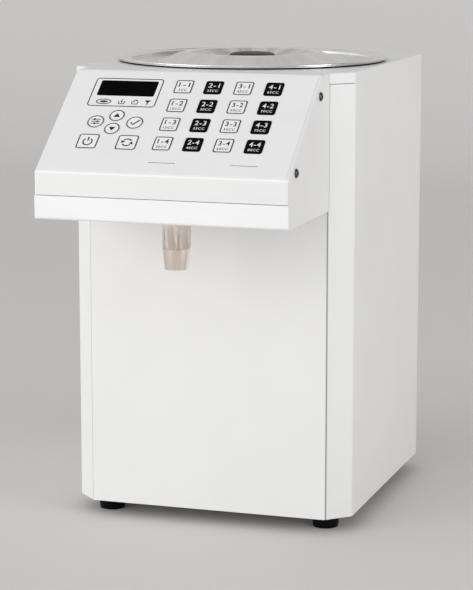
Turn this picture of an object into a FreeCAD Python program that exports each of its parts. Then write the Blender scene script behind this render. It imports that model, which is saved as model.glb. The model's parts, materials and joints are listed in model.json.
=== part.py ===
import FreeCAD, Part
import math
import os
import re

import Sketcher

# Counter-top syrup dispenser: a folded sheet casing round a hanging steel tank, a sloped control hood
# with membrane keys, and a motor-driven gear pump that feeds a drip-free nozzle under the hood.
# Frame: +Z up, the front faces -Y, +X is the right-hand side seen from the front. The origin is on the
# counter, midway across the width and midway along the overall depth.

doc = FreeCAD.newDocument("SyrupDispenser")
sheet = doc.addObject("Spreadsheet::Sheet", "Sizes")

SIZES = [
    # casing, folded from one gauge of painted steel
    ("body_width", 274.0, "casing across the side panels"),
    ("body_depth", 278.0, "casing from the front panel's seat to the rear panel's seat"),
    ("casing_height", 418.0, "casing above the feet"),
    ("corner_chamfer", 20.0, "leg of the 45 degree front corners"),
    ("sheet_gauge", 1.2, "painted steel sheet"),
    ("bend_radius", 2.6, "outer radius of the sheet's bends"),
    ("rim_radius", 2.0, "outer radius round the roof and the hood's cheeks"),
    ("return_flange", 14.0, "inward flanges that the panels screw to"),
    ("corner_tab", 10.0, "top plate's flap folded over each front corner"),
    ("seam_width", 0.5, "open seam between folded edges"),
    ("panel_gap", 0.4, "gap round the front and rear panels"),
    ("rim_height", 15.0, "upturned rim of the base plate"),
    # feet
    ("foot_height", 14.0, "rubber foot"),
    ("foot_top_radius", 13.5, "foot at the base plate"),
    ("foot_tread_radius", 12.0, "foot on the counter"),
    ("foot_side_inset", 28.5, "foot centre in from the side panel"),
    ("foot_end_inset", 29.5, "foot centre in from the front and rear"),
    # control hood
    ("hood_width", 236.0, "hood across the cheeks"),
    ("hood_reach", 130.0, "lip in front of the casing"),
    ("hood_top_reach", 25.0, "level strip in front of the casing"),
    ("lip_top", 349.0, "fold between slope and lip above the counter"),
    ("lip_seam", 328.0, "seam between hood and bottom cover"),
    ("lip_bottom", 306.0, "underside of the hood"),
    ("tray_flange", 8.0, "upturned edges of the bottom cover"),
    ("cheek_screw_drop", 10.5, "cheek screws below the slope"),
    ("cheek_screw_low", 20.0, "lower cheek screw up the slope"),
    ("cheek_screw_high", 117.0, "upper cheek screw up the slope"),
    # keypad, measured across and up the slope from the fold at the lip
    ("overlay_gauge", 0.6, "membrane panel"),
    ("overlay_side_margin", 3.0, "membrane panel in from the cheeks"),
    ("overlay_low_margin", 3.0, "membrane panel above the lip's fold"),
    ("overlay_high_margin", 3.0, "membrane panel below the upper fold"),
    ("key_gauge", 0.5, "domed key cap"),
    ("key_travel", 0.35, "key travel"),
    ("key_rest_gap", 0.05, "left under a pressed key"),
    ("key_gap", 0.3, "gap round each key"),
    ("key_corner", 2.2, "key corner radius"),
    ("dose_key_width", 16.6, "dose key across"),
    ("dose_key_length", 17.0, "dose key up the slope"),
    ("dose_pitch_across", 28.4, "between dose key columns"),
    ("dose_pitch_up", 24.5, "between dose key rows"),
    ("dose_first_across", -7.4, "first dose key column"),
    ("dose_first_up", 113.0, "first dose key row"),
    ("square_key_width", 19.0, "function key across"),
    ("square_key_length", 18.0, "function key up the slope"),
    ("square_keys_up", 39.3, "function keys up the slope"),
    ("left_keys_across", -78.5, "left function key and round key"),
    ("right_keys_across", -41.0, "right function key and round key"),
    ("round_key_radius", 8.0, "set and save keys"),
    ("round_keys_up", 64.7, "set and save keys up the slope"),
    ("arrow_key_radius", 7.3, "up and down keys"),
    ("arrow_keys_across", -60.4, "up and down keys across"),
    ("arrow_key_spacing", 16.8, "between up and down key"),
    ("window_width", 54.5, "display window"),
    ("window_length", 19.2, "display window up the slope"),
    ("window_across", -60.5, "display window centre"),
    ("window_up", 109.1, "display window centre up the slope"),
    ("window_rim", 2.0, "seat of the window on the hood"),
    # board and its carrier, below the slope
    ("carrier_depth", 26.0, "carrier plate below the slope"),
    ("carrier_inset", 8.0, "carrier plate in from both folds"),
    ("pillar_height", 8.0, "pillars between carrier and board"),
    ("pillar_radius", 3.0, "board pillar"),
    ("pillar_inset", 7.0, "pillar in from the board's edges"),
    ("board_gauge", 1.6, "control board"),
    ("board_width", 196.0, "control board across"),
    ("board_length", 84.0, "control board up the slope"),
    ("chip_width", 16.0, "board's main chip"),
    ("socket_length", 30.0, "board's wiring socket"),
    ("socket_width", 8.0, "board's wiring socket"),
    ("socket_inset", 18.0, "wiring sockets in from the board's ends"),
    # tank, gasket and lid
    ("tank_centre", 139.0, "tank axis behind the casing's front"),
    ("tank_radius", 121.0, "tank wall outside"),
    ("tank_gauge", 1.0, "tank sheet"),
    ("tank_depth", 208.0, "straight wall below the flange"),
    ("tank_floor_drop", 5.0, "fall of the tank floor to its outlet"),
    ("tank_floor_radius", 24.0, "level middle of the tank floor"),
    ("tank_flange_radius", 130.0, "tank flange"),
    ("tank_heel", 4.0, "sloping heel between wall and floor"),
    ("gasket_gauge", 1.5, "gasket under the flange"),
    ("lid_gauge", 1.0, "lid sheet"),
    ("lid_radius", 132.0, "lid rim"),
    ("lid_fit", 0.5, "lid plug inside the tank"),
    ("lid_recess", 4.0, "lid's ring recess below the flange"),
    ("lid_cone_base", 92.0, "foot of the lid's raised cone"),
    ("lid_ring_radius", 68.0, "top of the raised cone"),
    ("lid_ring_width", 6.0, "level ring on the cone"),
    ("lid_ring_height", 5.0, "ring above the flange"),
    ("lid_dish_radius", 30.0, "level middle of the dish"),
    ("lid_dish_drop", 3.0, "dish floor below the flange"),
    ("knob_radius", 22.0, "lid knob"),
    ("knob_height", 7.0, "lid knob"),
    ("knob_waist", 18.0, "lid knob at its foot"),
    ("heater_gauge", 2.0, "heater band"),
    ("heater_height", 60.0, "heater band"),
    ("heater_rise", 40.0, "heater band above the tank's floor"),
    # syrup line
    ("hose_radius", 6.0, "hose outside"),
    ("hose_bore", 4.0, "hose inside"),
    ("passage_radius", 9.0, "holes for the hose and the wiring in the front panel"),
    ("hose_fit", 0.05, "clearance of a spigot in its hose"),
    ("spigot_length", 13.0, "spigot inside its hose"),
    ("duct_radius", 2.6, "passage through fittings"),
    ("outlet_radius", 11.0, "tank outlet stem"),
    ("outlet_flange_radius", 19.0, "tank outlet flange"),
    ("outlet_flange", 4.0, "tank outlet flange thickness"),
    ("outlet_drop", 24.0, "tank outlet stem below its flange"),
    # gear pump: a pair of equal spur gears, one above the other
    ("pump_across", -40.0, "pump axis from the middle"),
    ("pump_back", 40.0, "pump body's front face behind the casing's front"),
    ("drive_axis", 88.0, "drive shaft above the counter"),
    ("gear_module", 2.5, "tooth module"),
    ("gear_teeth", 12, "teeth of each gear"),
    ("gear_width", 16.0, "gear face width"),
    ("pressure_angle", 25.0, "tooth pressure angle"),
    ("tooth_tip", 0.85, "tooth above the pitch circle, in modules"),
    ("tooth_root", 1.1, "tooth below the pitch circle, in modules"),
    ("tooth_relief", 0.16, "taken off each tooth flank as backlash"),
    ("gear_tip_gap", 0.3, "gear tips inside the pump body"),
    ("gear_side_gap", 0.3, "gear faces inside the pump body"),
    ("shaft_radius", 4.0, "pump and motor shafts"),
    ("shaft_fit", 0.05, "radial running clearance"),
    ("pump_wall", 8.0, "pump body outside the gear chamber"),
    ("pump_back_wall", 10.0, "pump body behind the gears"),
    ("pump_cover_gauge", 7.0, "pump cover"),
    ("bearing_depth", 5.0, "shaft ends in the cover and body"),
    ("port_boss_radius", 8.0, "port boss on the pump body"),
    ("port_boss_length", 6.0, "port boss on the pump body"),
    # motor and bracket
    ("bracket_gauge", 3.0, "bracket plate"),
    ("bracket_width", 78.0, "bracket across"),
    ("bracket_rise", 60.0, "bracket above the drive shaft"),
    ("coupling_bay", 34.0, "space between the bracket's plates"),
    ("coupling_radius", 9.0, "shaft coupling"),
    ("coupling_length", 26.0, "shaft coupling"),
    ("gearbox_radius", 31.0, "reduction gearbox"),
    ("gearbox_length", 36.0, "reduction gearbox"),
    ("motor_radius", 27.0, "motor can"),
    ("motor_length", 68.0, "motor can"),
    # nozzle
    ("nozzle_reach", 85.5, "nozzle axis in front of the casing"),
    ("nozzle_radius", 13.6, "nozzle sleeve"),
    ("nozzle_flat", 12.3, "six spanner flats from the sleeve's axis"),
    ("nozzle_turn", 9.0, "sleeve turned on its thread, in degrees"),
    ("nozzle_straight", 27.0, "straight part of the sleeve"),
    ("nozzle_length", 46.0, "sleeve below the hood"),
    ("nozzle_tip_radius", 10.6, "sleeve at its mouth"),
    ("nozzle_bore", 7.5, "valve chamber"),
    ("nozzle_mouth_bore", 4.6, "mouth bore"),
    ("mouth_land", 8.0, "mouth bore's length"),
    ("stem_radius", 9.0, "valve housing through the hood"),
    ("stem_height", 26.0, "valve housing above the hood's floor"),
    ("stem_fit", 0.1, "clearance of the stem in its holes"),
    ("barb_rise", 17.0, "hose spigot above the hood's floor"),
    ("collar_height", 4.0, "valve housing's collar on the hood's floor"),
    ("collar_radius", 14.0, "valve housing's collar"),
    ("thread_length", 14.0, "valve housing inside the sleeve"),
    ("valve_head_radius", 6.3, "anti-drip poppet"),
    ("valve_head", 3.0, "poppet head"),
    ("valve_pin_radius", 2.2, "poppet pin inside the spring"),
    ("valve_pin", 9.0, "poppet pin"),
    ("valve_pilot_radius", 1.6, "poppet pilot in the duct"),
    ("valve_pilot", 6.0, "poppet pilot"),
    ("spring_wire", 0.45, "spring wire radius"),
    ("spring_play", 0.3, "spring's top below the poppet"),
    ("spring_radius", 5.6, "spring coil radius"),
    ("spring_turns", 4.0, "spring coils"),
    # mains parts on the rear panel
    ("mains_inset", 67.0, "inlet and switch in from the side panel"),
    ("inlet_height", 66.0, "inlet above the counter"),
    ("inlet_width", 30.0, "inlet housing"),
    ("inlet_tall", 22.0, "inlet housing"),
    ("inlet_depth", 22.0, "inlet housing behind its flange"),
    ("inlet_flange", 2.4, "inlet flange"),
    ("inlet_ear", 9.0, "inlet flange beyond the housing"),
    ("inlet_rim", 1.0, "inlet flange above and below the housing"),
    ("mouth_half_width", 12.2, "inlet mouth"),
    ("mouth_half_height", 8.2, "inlet mouth"),
    ("mouth_corner", 5.2, "inlet mouth's cut corners"),
    ("pin_pitch", 7.0, "inlet's outer pins from its middle"),
    ("pin_width", 2.0, "inlet pin"),
    ("pin_height", 4.0, "inlet pin"),
    ("switch_height", 106.0, "switch above the counter"),
    ("switch_width", 19.0, "switch body"),
    ("switch_tall", 25.0, "switch body"),
    ("switch_depth", 16.0, "switch body inside the panel"),
    ("switch_bezel", 2.0, "switch flange"),
    ("rocker_flush", 0.4, "pressed half of the rocker outside its flange"),
    ("rocker_valley", 3.0, "middle of the rocker outside its pivot"),
    ("rocker_heel", 1.0, "ends of the rocker inside its pivot"),
    ("rocker_pin", 1.0, "rocker's pivot pins"),
    ("rocker_keel", 5.0, "rocker inside its pivot"),
    ("rocker_swing", 16.0, "rocker throw in degrees"),
    ("rocker_wall", 2.0, "switch body wall round the rocker"),
    # power supply
    ("supply_width", 36.0, "power supply across"),
    ("supply_length", 110.0, "power supply front to back"),
    ("supply_tall", 84.0, "power supply height"),
    # ventilation and screws
    ("vent_length", 34.0, "cooling slot"),
    ("vent_width", 4.0, "cooling slot"),
    ("vent_pitch", 11.0, "between cooling slots"),
    ("vent_rows", 8, "cooling slots in a column"),
    ("rear_screw_low", 64.0, "lower rear panel screws above the counter"),
    ("rear_screw_drop", 40.0, "upper rear panel screws below the roof"),
    ("screw_radius", 2.0, "machine screw shank"),
    ("screw_head", 4.2, "machine screw head radius"),
    ("screw_dome", 2.2, "machine screw head height"),
    ("screw_grip", 6.0, "machine screw below its head"),
    ("screw_fit", 0.05, "clearance of a screw in its holes"),
]

DERIVED = [
    ("rocker_half", "switch_tall / 2 - rocker_wall - 3 * key_gap"),
    ("rocker_rise", "2 * rocker_half * sin(rocker_swing / 2) + rocker_valley * cos(rocker_swing / 2)"),
    ("rocker_proud", "rocker_flush - rocker_valley + rocker_rise"),
    ("front_y", "(hood_reach - body_depth - sheet_gauge - switch_bezel - rocker_proud) / 2"),
    ("rear_y", "front_y + body_depth"),
    ("half_width", "body_width / 2"),
    ("half_flat", "body_width / 2 - corner_chamfer"),
    ("mains_across", "body_width / 2 - mains_inset"),
    ("casing_top", "foot_height + casing_height"),
    ("floor_top", "foot_height + sheet_gauge"),
    ("lip_y", "front_y - hood_reach"),
    ("slope_rise", "casing_top - lip_top"),
    ("slope_run", "hood_reach - hood_top_reach"),
    ("slope_length", "sqrt(slope_rise ^ 2 + slope_run ^ 2)"),
    ("slope_angle", "atan2(slope_rise; slope_run)"),
    ("slope_sin", "slope_rise / slope_length"),
    ("slope_cos", "slope_run / slope_length"),
    ("cheek_inner", "hood_width / 2 - sheet_gauge"),
    ("carrier_half", "cheek_inner - panel_gap"),
    ("board_top", "pillar_height + sheet_gauge + board_gauge - carrier_depth"),
    ("board_middle", "slope_length / 2"),
    ("tank_y", "front_y + tank_centre"),
    ("tank_seat", "casing_top + gasket_gauge"),
    ("flange_top", "tank_seat + tank_gauge"),
    ("tank_bottom", "tank_seat - tank_depth - tank_floor_drop"),
    ("spigot_radius", "hose_bore - hose_fit"),
    ("outlet_axis", "tank_bottom - outlet_flange - outlet_drop + outlet_radius"),
    ("pitch_radius", "gear_module * gear_teeth / 2"),
    ("tip_radius", "pitch_radius + tooth_tip * gear_module"),
    ("root_radius", "pitch_radius - tooth_root * gear_module"),
    ("chamber_radius", "tip_radius + gear_tip_gap"),
    ("idler_axis", "drive_axis + 2 * pitch_radius"),
    ("port_axis", "drive_axis + pitch_radius"),
    ("pump_y", "front_y + pump_back"),
    ("chamber_depth", "gear_width + 2 * gear_side_gap"),
    ("pump_rear", "pump_y + chamber_depth + pump_back_wall"),
    ("pump_half", "chamber_radius + pump_wall"),
    ("gearbox_y", "pump_rear + 2 * bracket_gauge + coupling_bay"),
    ("nozzle_y", "front_y - nozzle_reach"),
    ("tray_top", "lip_bottom + sheet_gauge"),
    ("seat_z", "lip_bottom - thread_length"),
    ("ledge_z", "lip_bottom - nozzle_length + mouth_land"),
    ("nozzle_mouth", "lip_bottom - nozzle_length"),
    ("barb_axis", "tray_top + barb_rise"),
    ("panel_rear", "rear_y + sheet_gauge"),
    ("pivot_y", "panel_rear + switch_bezel + rocker_flush - rocker_valley"),
    ("outlet_shoulder", "outlet_radius + port_boss_length"),
    ("port_shoulder", "pump_half + port_boss_length"),
    ("port_y", "pump_y + chamber_depth / 2"),
    ("rear_screw_x", "half_width - return_flange / 2"),
    ("inlet_screw_x", "inlet_width / 2 + inlet_ear / 2"),
    ("pump_screw_in", "pump_half - screw_head - panel_gap"),
    ("bracket_screw_in", "bracket_width / 2 - 2 * screw_head"),
]

row = 1
for alias, size, meaning in SIZES:
    sheet.set(f"A{row}", meaning)
    sheet.set(f"B{row}", str(size))
    sheet.setAlias(f"B{row}", alias)
    row += 1
for alias, formula in DERIVED:
    sheet.set(f"B{row}", "=" + formula)
    sheet.setAlias(f"B{row}", alias)
    row += 1
doc.recompute()
ALIASES = {entry[0] for entry in SIZES + DERIVED}


def bound(text):
    """The expression with each size's name pointed at the sheet."""
    return re.sub(r"[a-z][a-z_]*", lambda m: "Sizes." + m[0] if m[0] in ALIASES else m[0], text)


def val(text):
    """An expression's value as a plain number, angles in degrees."""
    result = sheet.evalExpression(bound(text))
    return float(getattr(result, "Value", result))


def tie(thing, prop, text):
    thing.setExpression(prop, bound(text))


def place(thing, x="0", y="0", z="0", axis=None, angle="0"):
    """Bind a placement: the turn's axis is fixed, its angle and the position follow the sheet."""
    if axis:
        turn = FreeCAD.Rotation(FreeCAD.Vector(*axis), val(angle))
        thing.Placement = FreeCAD.Placement(FreeCAD.Vector(), turn)
        tie(thing, "Placement.Rotation.Angle", angle)
    for prop, text in (("x", x), ("y", y), ("z", z)):
        if text != "0":
            tie(thing, "Placement.Base." + prop, text)


def new_body(label):
    body = doc.addObject("PartDesign::Body", label)
    body.Label = label
    return body


def new_sketch(body, plane, level="0", tilt=None):
    """A sketch on one of the body's origin planes, raised by level, or laid on the hood's slope."""
    sketch = body.newObject("Sketcher::SketchObject", body.Label + "_sketch")
    planes = [part for part in body.Origin.OriginFeatures if part.Role == plane + "_Plane"]
    sketch.AttachmentSupport = [(planes[0], "")]
    sketch.MapMode = "FlatFace"
    if tilt:
        turn = FreeCAD.Rotation(FreeCAD.Vector(1, 0, 0), val(tilt))
        sketch.AttachmentOffset = FreeCAD.Placement(FreeCAD.Vector(), turn)
        tie(sketch, "AttachmentOffset.Rotation.Angle", tilt)
        tie(sketch, "AttachmentOffset.Base.y", "lip_y")
        tie(sketch, "AttachmentOffset.Base.z", "lip_top")
    elif level != "0":
        tie(sketch, "AttachmentOffset.Base.z", level)
    return sketch


def pin_point(sketch, piece, end, x, y):
    """Hold one end of a sketch piece at sheet-bound coordinates."""
    for kind, text, axis in (("DistanceX", x, -2), ("DistanceY", y, -1)):
        if text == "0":
            sketch.addConstraint(Sketcher.Constraint("PointOnObject", piece, end, axis))
        else:
            where = Sketcher.Constraint(kind, -1, 1, piece, end, val(text))
            tie(sketch, f"Constraints[{sketch.addConstraint(where)}]", text)


def outline(sketch, points):
    """A closed outline of straight edges through points given as pairs of expressions."""
    corners = [FreeCAD.Vector(val(x), val(y), 0) for x, y in points]
    first = sketch.GeometryCount
    count = len(points)
    for i in range(count):
        sketch.addGeometry(Part.LineSegment(corners[i], corners[(i + 1) % count]), False)
    for i in range(count):
        joint = Sketcher.Constraint("Coincident", first + i, 2, first + (i + 1) % count, 1)
        sketch.addConstraint(joint)
    for i, (x, y) in enumerate(points):
        pin_point(sketch, first + i, 1, x, y)


def rectangle(sketch, left, low, right, high):
    outline(sketch, [(left, low), (right, low), (right, high), (left, high)])


def circle(sketch, radius, x="0", y="0"):
    centre = FreeCAD.Vector(val(x), val(y), 0)
    ring = sketch.addGeometry(Part.Circle(centre, FreeCAD.Vector(0, 0, 1), val(radius)), False)
    pin_point(sketch, ring, 3, x, y)
    size = sketch.addConstraint(Sketcher.Constraint("Radius", ring, val(radius)))
    tie(sketch, f"Constraints[{size}]", radius)


def soft_rectangle(sketch, left, low, right, high, corner):
    """A rectangle with rounded corners, fully constrained."""
    x0, y0, x1, y1, r = (val(text) for text in (left, low, right, high, corner))
    runs = [
        ((x0 + r, y0), (x1 - r, y0)),
        ((x1, y0 + r), (x1, y1 - r)),
        ((x1 - r, y1), (x0 + r, y1)),
        ((x0, y1 - r), (x0, y0 + r)),
    ]
    centres = [(x1 - r, y0 + r), (x1 - r, y1 - r), (x0 + r, y1 - r), (x0 + r, y0 + r)]
    first = sketch.GeometryCount
    for i in range(4):
        start, end = (FreeCAD.Vector(*point, 0) for point in runs[i])
        sketch.addGeometry(Part.LineSegment(start, end), False)
        ring = Part.Circle(FreeCAD.Vector(*centres[i], 0), FreeCAD.Vector(0, 0, 1), r)
        begin = math.radians(90 * (i - 1))
        sketch.addGeometry(Part.ArcOfCircle(ring, begin, begin + math.pi / 2), False)
    for i in range(4):
        line, arc, following = first + 2 * i, first + 2 * i + 1, first + (2 * i + 2) % 8
        sketch.addConstraint(Sketcher.Constraint("Tangent", line, 2, arc, 1))
        sketch.addConstraint(Sketcher.Constraint("Tangent", arc, 2, following, 1))
        sketch.addConstraint(Sketcher.Constraint("Vertical" if i % 2 else "Horizontal", line))
        if i:
            sketch.addConstraint(Sketcher.Constraint("Equal", first + 1, arc))
    size = sketch.addConstraint(Sketcher.Constraint("Radius", first + 1, r))
    tie(sketch, f"Constraints[{size}]", corner)
    sides = [("DistanceX", 2, right), ("DistanceX", 6, left), ("DistanceY", 0, low), ("DistanceY", 4, high)]
    for kind, line, text in sides:
        where = Sketcher.Constraint(kind, -1, 1, first + line, 1, val(text))
        tie(sketch, f"Constraints[{sketch.addConstraint(where)}]", text)


def pad(body, sketch, length, both=False, back=False):
    feature = body.newObject("PartDesign::Pad", body.Label + "_pad")
    feature.Profile = sketch
    feature.Midplane = both
    feature.Reversed = back
    tie(feature, "Length", length)
    doc.recompute()
    return feature


def pocket(body, sketch, length, both=False, back=False):
    """Cut a pocket against the sketch's normal, or along it with back, and see that it cuts."""
    before = body.Tip.Shape.Volume
    feature = body.newObject("PartDesign::Pocket", body.Label + "_pocket")
    feature.Profile = sketch
    feature.Midplane = both
    feature.Reversed = back
    tie(feature, "Length", length)
    doc.recompute()
    if feature.Shape.Volume > before - 1e-6:
        raise RuntimeError(f"{body.Label}: a pocket cuts nothing")
    return feature


def turned(body, points):
    """A revolved feature: points are radius and height pairs round the body's Z axis."""
    sketch = new_sketch(body, "XZ")
    outline(sketch, points)
    feature = body.newObject("PartDesign::Revolution", body.Label + "_turned")
    feature.Profile = sketch
    feature.ReferenceAxis = (sketch, ["V_Axis"])
    doc.recompute()
    return feature


def edges_at(shape, test):
    return [f"Edge{i}" for i, edge in enumerate(shape.Edges, 1) if test(edge)]


def dress(body, kind, size, test):
    """Round or bevel the tip's edges that the test picks."""
    names = edges_at(body.Tip.Shape, test)
    base = body.Tip
    feature = body.newObject("PartDesign::" + kind, body.Label + "_" + kind.lower())
    feature.Base = (base, names)
    tie(feature, "Radius" if kind == "Fillet" else "Size", size)
    doc.recompute()
    return feature


def near(value, text):
    return abs(value - val(text)) < 0.01


def is_ring(edge, radius, height):
    """Whether the edge is a full circle of that radius at that height."""
    curve = edge.Curve
    if not isinstance(curve, Part.Circle):
        return False
    return near(curve.Radius, radius) and near(curve.Center.z, height)


def hollow(body, gauge, open_faces):
    """Shell the tip inwards, leaving the faces open that the test picks."""
    base = body.Tip
    names = [f"Face{i}" for i, face in enumerate(base.Shape.Faces, 1) if open_faces(face)]
    feature = body.newObject("PartDesign::Thickness", body.Label + "_shell")
    feature.Base = (base, names)
    feature.Reversed = True
    tie(feature, "Value", gauge)
    doc.recompute()
    return feature


def grouped(label, members):
    """Several separate copies of one kind of piece, exported as one node."""
    group = doc.addObject("Part::Compound", label)
    group.Label = label
    group.Links = members
    return group


def faces(face, x=0, y=0, z=0):
    """Whether a flat face looks along the given direction."""
    if not isinstance(face.Surface, Part.Plane):
        return False
    normal = face.normalAt(0, 0)
    return normal.dot(FreeCAD.Vector(x, y, z)) > 0.999


PARTS = []


def plan(inset):
    """The casing's plan: square at the back, 45 degree corners at the front, drawn in by inset."""
    corner = f"{inset} * tan(22.5)"
    side = f"half_width - {inset}"
    front = f"half_flat - {corner}"
    right = [(side, f"rear_y - {inset}"), (side, f"front_y + corner_chamfer + {corner}"),
             (front, f"front_y + {inset}")]
    left = [("-(" + x + ")", y) for x, y in reversed(right)]
    return right + left


def casing_shell():
    body = new_body("casing_shell")
    block = new_sketch(body, "XY", "foot_height")
    outline(block, plan("0"))
    pad(body, block, "casing_height")

    def is_upright(edge):
        return edge.BoundBox.ZLength > val("casing_height / 2") and not near(edge.BoundBox.YMax, "rear_y")

    def is_roof_rim(edge):
        return near(edge.BoundBox.ZMin, "casing_top") and not near(edge.BoundBox.YMin, "rear_y")

    dress(body, "Fillet", "bend_radius", is_upright)
    dress(body, "Fillet", "rim_radius", is_roof_rim)
    hollow(body, "sheet_gauge", lambda face: faces(face, z=-1))
    deep = "4 * bend_radius"
    for level in ("front_y", "rear_y"):
        mouth = new_sketch(body, "XZ", f"-({level})")
        half = "half_flat - return_flange" if level == "front_y" else "half_width - return_flange"
        rectangle(mouth, f"-({half})", "foot_height", half, "casing_top - return_flange")
        pocket(body, mouth, deep, both=True)
    back_holes = new_sketch(body, "XZ", "-rear_y")
    for x, z in rear_screw_places():
        circle(back_holes, "screw_radius + screw_fit", x, z)
    pocket(body, back_holes, "2 * sheet_gauge", both=True)
    throat = new_sketch(body, "XY", "casing_top")
    circle(throat, "tank_radius + panel_gap", y="tank_y")
    pocket(body, throat, deep)
    slit = new_sketch(body, "XY", "casing_top - corner_tab - seam_width")
    for sign in ("", "-"):
        x_in = f"{sign}(half_flat - 2 * sheet_gauge)"
        x_bend = f"{sign}(half_width - 2 * sheet_gauge)"
        x_out = f"{sign}(half_width + sheet_gauge)"
        outline(slit, [(x_in, "front_y - sheet_gauge"), (x_out, "front_y - sheet_gauge"),
                       (x_out, "front_y + corner_chamfer"), (x_bend, "front_y + corner_chamfer"),
                       (x_in, "front_y")])
    pocket(body, slit, "seam_width", back=True)
    PARTS.append(body)


def rear_screw_places():
    for side in ("", "-"):
        for height in ("rear_screw_low", "casing_top - rear_screw_drop"):
            yield f"{side}rear_screw_x", height


def front_panel():
    body = new_body("front_panel")
    face = new_sketch(body, "XZ", "-front_y")
    half = "half_flat - panel_gap"
    soft_rectangle(face, f"-({half})", "foot_height", half, "casing_top - sheet_gauge", "sheet_gauge")
    circle(face, "passage_radius", "-hood_width / 3", "barb_axis")
    circle(face, "passage_radius", "hood_width / 3", "barb_axis + 4 * hose_radius")
    pad(body, face, "sheet_gauge")
    PARTS.append(body)


def rear_panel():
    body = new_body("rear_panel")
    plate = new_sketch(body, "XZ", "-rear_y")
    half = "half_width - sheet_gauge"
    soft_rectangle(plate, f"-({half})", "foot_height", half, "casing_top - sheet_gauge", "sheet_gauge")
    soft_rectangle(plate, "mains_across - inlet_width / 2 - panel_gap", "inlet_height - inlet_tall / 2 - panel_gap",
                   "mains_across + inlet_width / 2 + panel_gap", "inlet_height + inlet_tall / 2 + panel_gap",
                   "panel_gap * 2")
    soft_rectangle(plate, "mains_across - switch_width / 2 - panel_gap",
                   "switch_height - switch_tall / 2 - panel_gap", "mains_across + switch_width / 2 + panel_gap",
                   "switch_height + switch_tall / 2 + panel_gap", "panel_gap * 2")
    for x, z in rear_screw_places():
        circle(plate, "screw_radius + screw_fit", x, z)
    for side in ("+", "-"):
        circle(plate, "screw_radius + screw_fit", f"mains_across {side} inlet_screw_x", "inlet_height")
    pad(body, plate, "sheet_gauge", back=True)
    slot = new_sketch(body, "XZ", "-rear_y")
    across = "half_width - return_flange - vent_length * 1.4"
    rectangle(slot, f"-({across}) - vent_length / 2", "casing_top / 3 - vent_width / 2",
              f"-({across}) + vent_length / 2", "casing_top / 3 + vent_width / 2")
    first = pocket(body, slot, "2 * sheet_gauge", back=False, both=True)
    rows = body.newObject("PartDesign::LinearPattern", "vent_rows_pattern")
    rows.Direction = (slot, ["V_Axis"])
    tie(rows, "Length", "vent_pitch * (vent_rows - 1)")
    tie(rows, "Occurrences", "vent_rows")
    columns = body.newObject("PartDesign::LinearPattern", "vent_columns_pattern")
    columns.Direction = (slot, ["H_Axis"])
    tie(columns, "Length", "vent_length * 1.3")
    columns.Occurrences = 2
    both_ways = body.newObject("PartDesign::MultiTransform", "vents")
    both_ways.Originals = [first]
    both_ways.Transformations = [rows, columns]
    body.Tip = both_ways
    PARTS.append(body)


def base_plate():
    body = new_body("base_plate")
    tray = new_sketch(body, "XY", "foot_height")
    outline(tray, plan("(sheet_gauge + panel_gap / 2)"))
    pad(body, tray, "rim_height")
    hollow(body, "sheet_gauge", lambda face: faces(face, z=1))
    holes = new_sketch(body, "XY", "foot_height")
    for x, y in list(foot_places()) + list(bracket_screw_places()):
        circle(holes, "screw_radius + screw_fit", x, y)
    pocket(body, holes, "sheet_gauge * 2", both=True)
    slot = new_sketch(body, "XY", "foot_height")
    start = "tank_y - vent_pitch * 1.5"
    rectangle(slot, "-vent_length / 2", f"{start} - vent_width / 2", "vent_length / 2",
              f"{start} + vent_width / 2")
    first = pocket(body, slot, "sheet_gauge * 2", both=True)
    rows = body.newObject("PartDesign::LinearPattern", "floor_vents")
    rows.Originals = [first]
    rows.Direction = (slot, ["V_Axis"])
    tie(rows, "Length", "vent_pitch * 3")
    rows.Occurrences = 4
    body.Tip = rows
    PARTS.append(body)


def foot_places():
    across = "half_width - foot_side_inset"
    for side in ("", "-"):
        for along in ("front_y + foot_end_inset", "rear_y - foot_end_inset"):
            yield f"{side}({across})", along


def bracket_screw_places():
    for side in ("+", "-"):
        for along in ("pump_rear + 2 * bracket_gauge + screw_head",
                      "gearbox_y - 2 * bracket_gauge - screw_head"):
            yield f"pump_across {side} bracket_screw_in", along


def rubber_feet():
    feet = []
    for number, (x, y) in enumerate(foot_places(), 1):
        foot = new_body(f"foot_{number}")
        well = "screw_head + panel_gap"
        turned(foot, [("screw_radius + screw_fit", "foot_height / 2"), (well, "foot_height / 2"), (well, "0"),
                      ("foot_tread_radius", "0"), ("foot_top_radius", "foot_height"),
                      ("screw_radius + screw_fit", "foot_height")])
        place(foot, x, y)
        feet.append(foot)
    PARTS.append(grouped("rubber_feet", feet))


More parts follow.
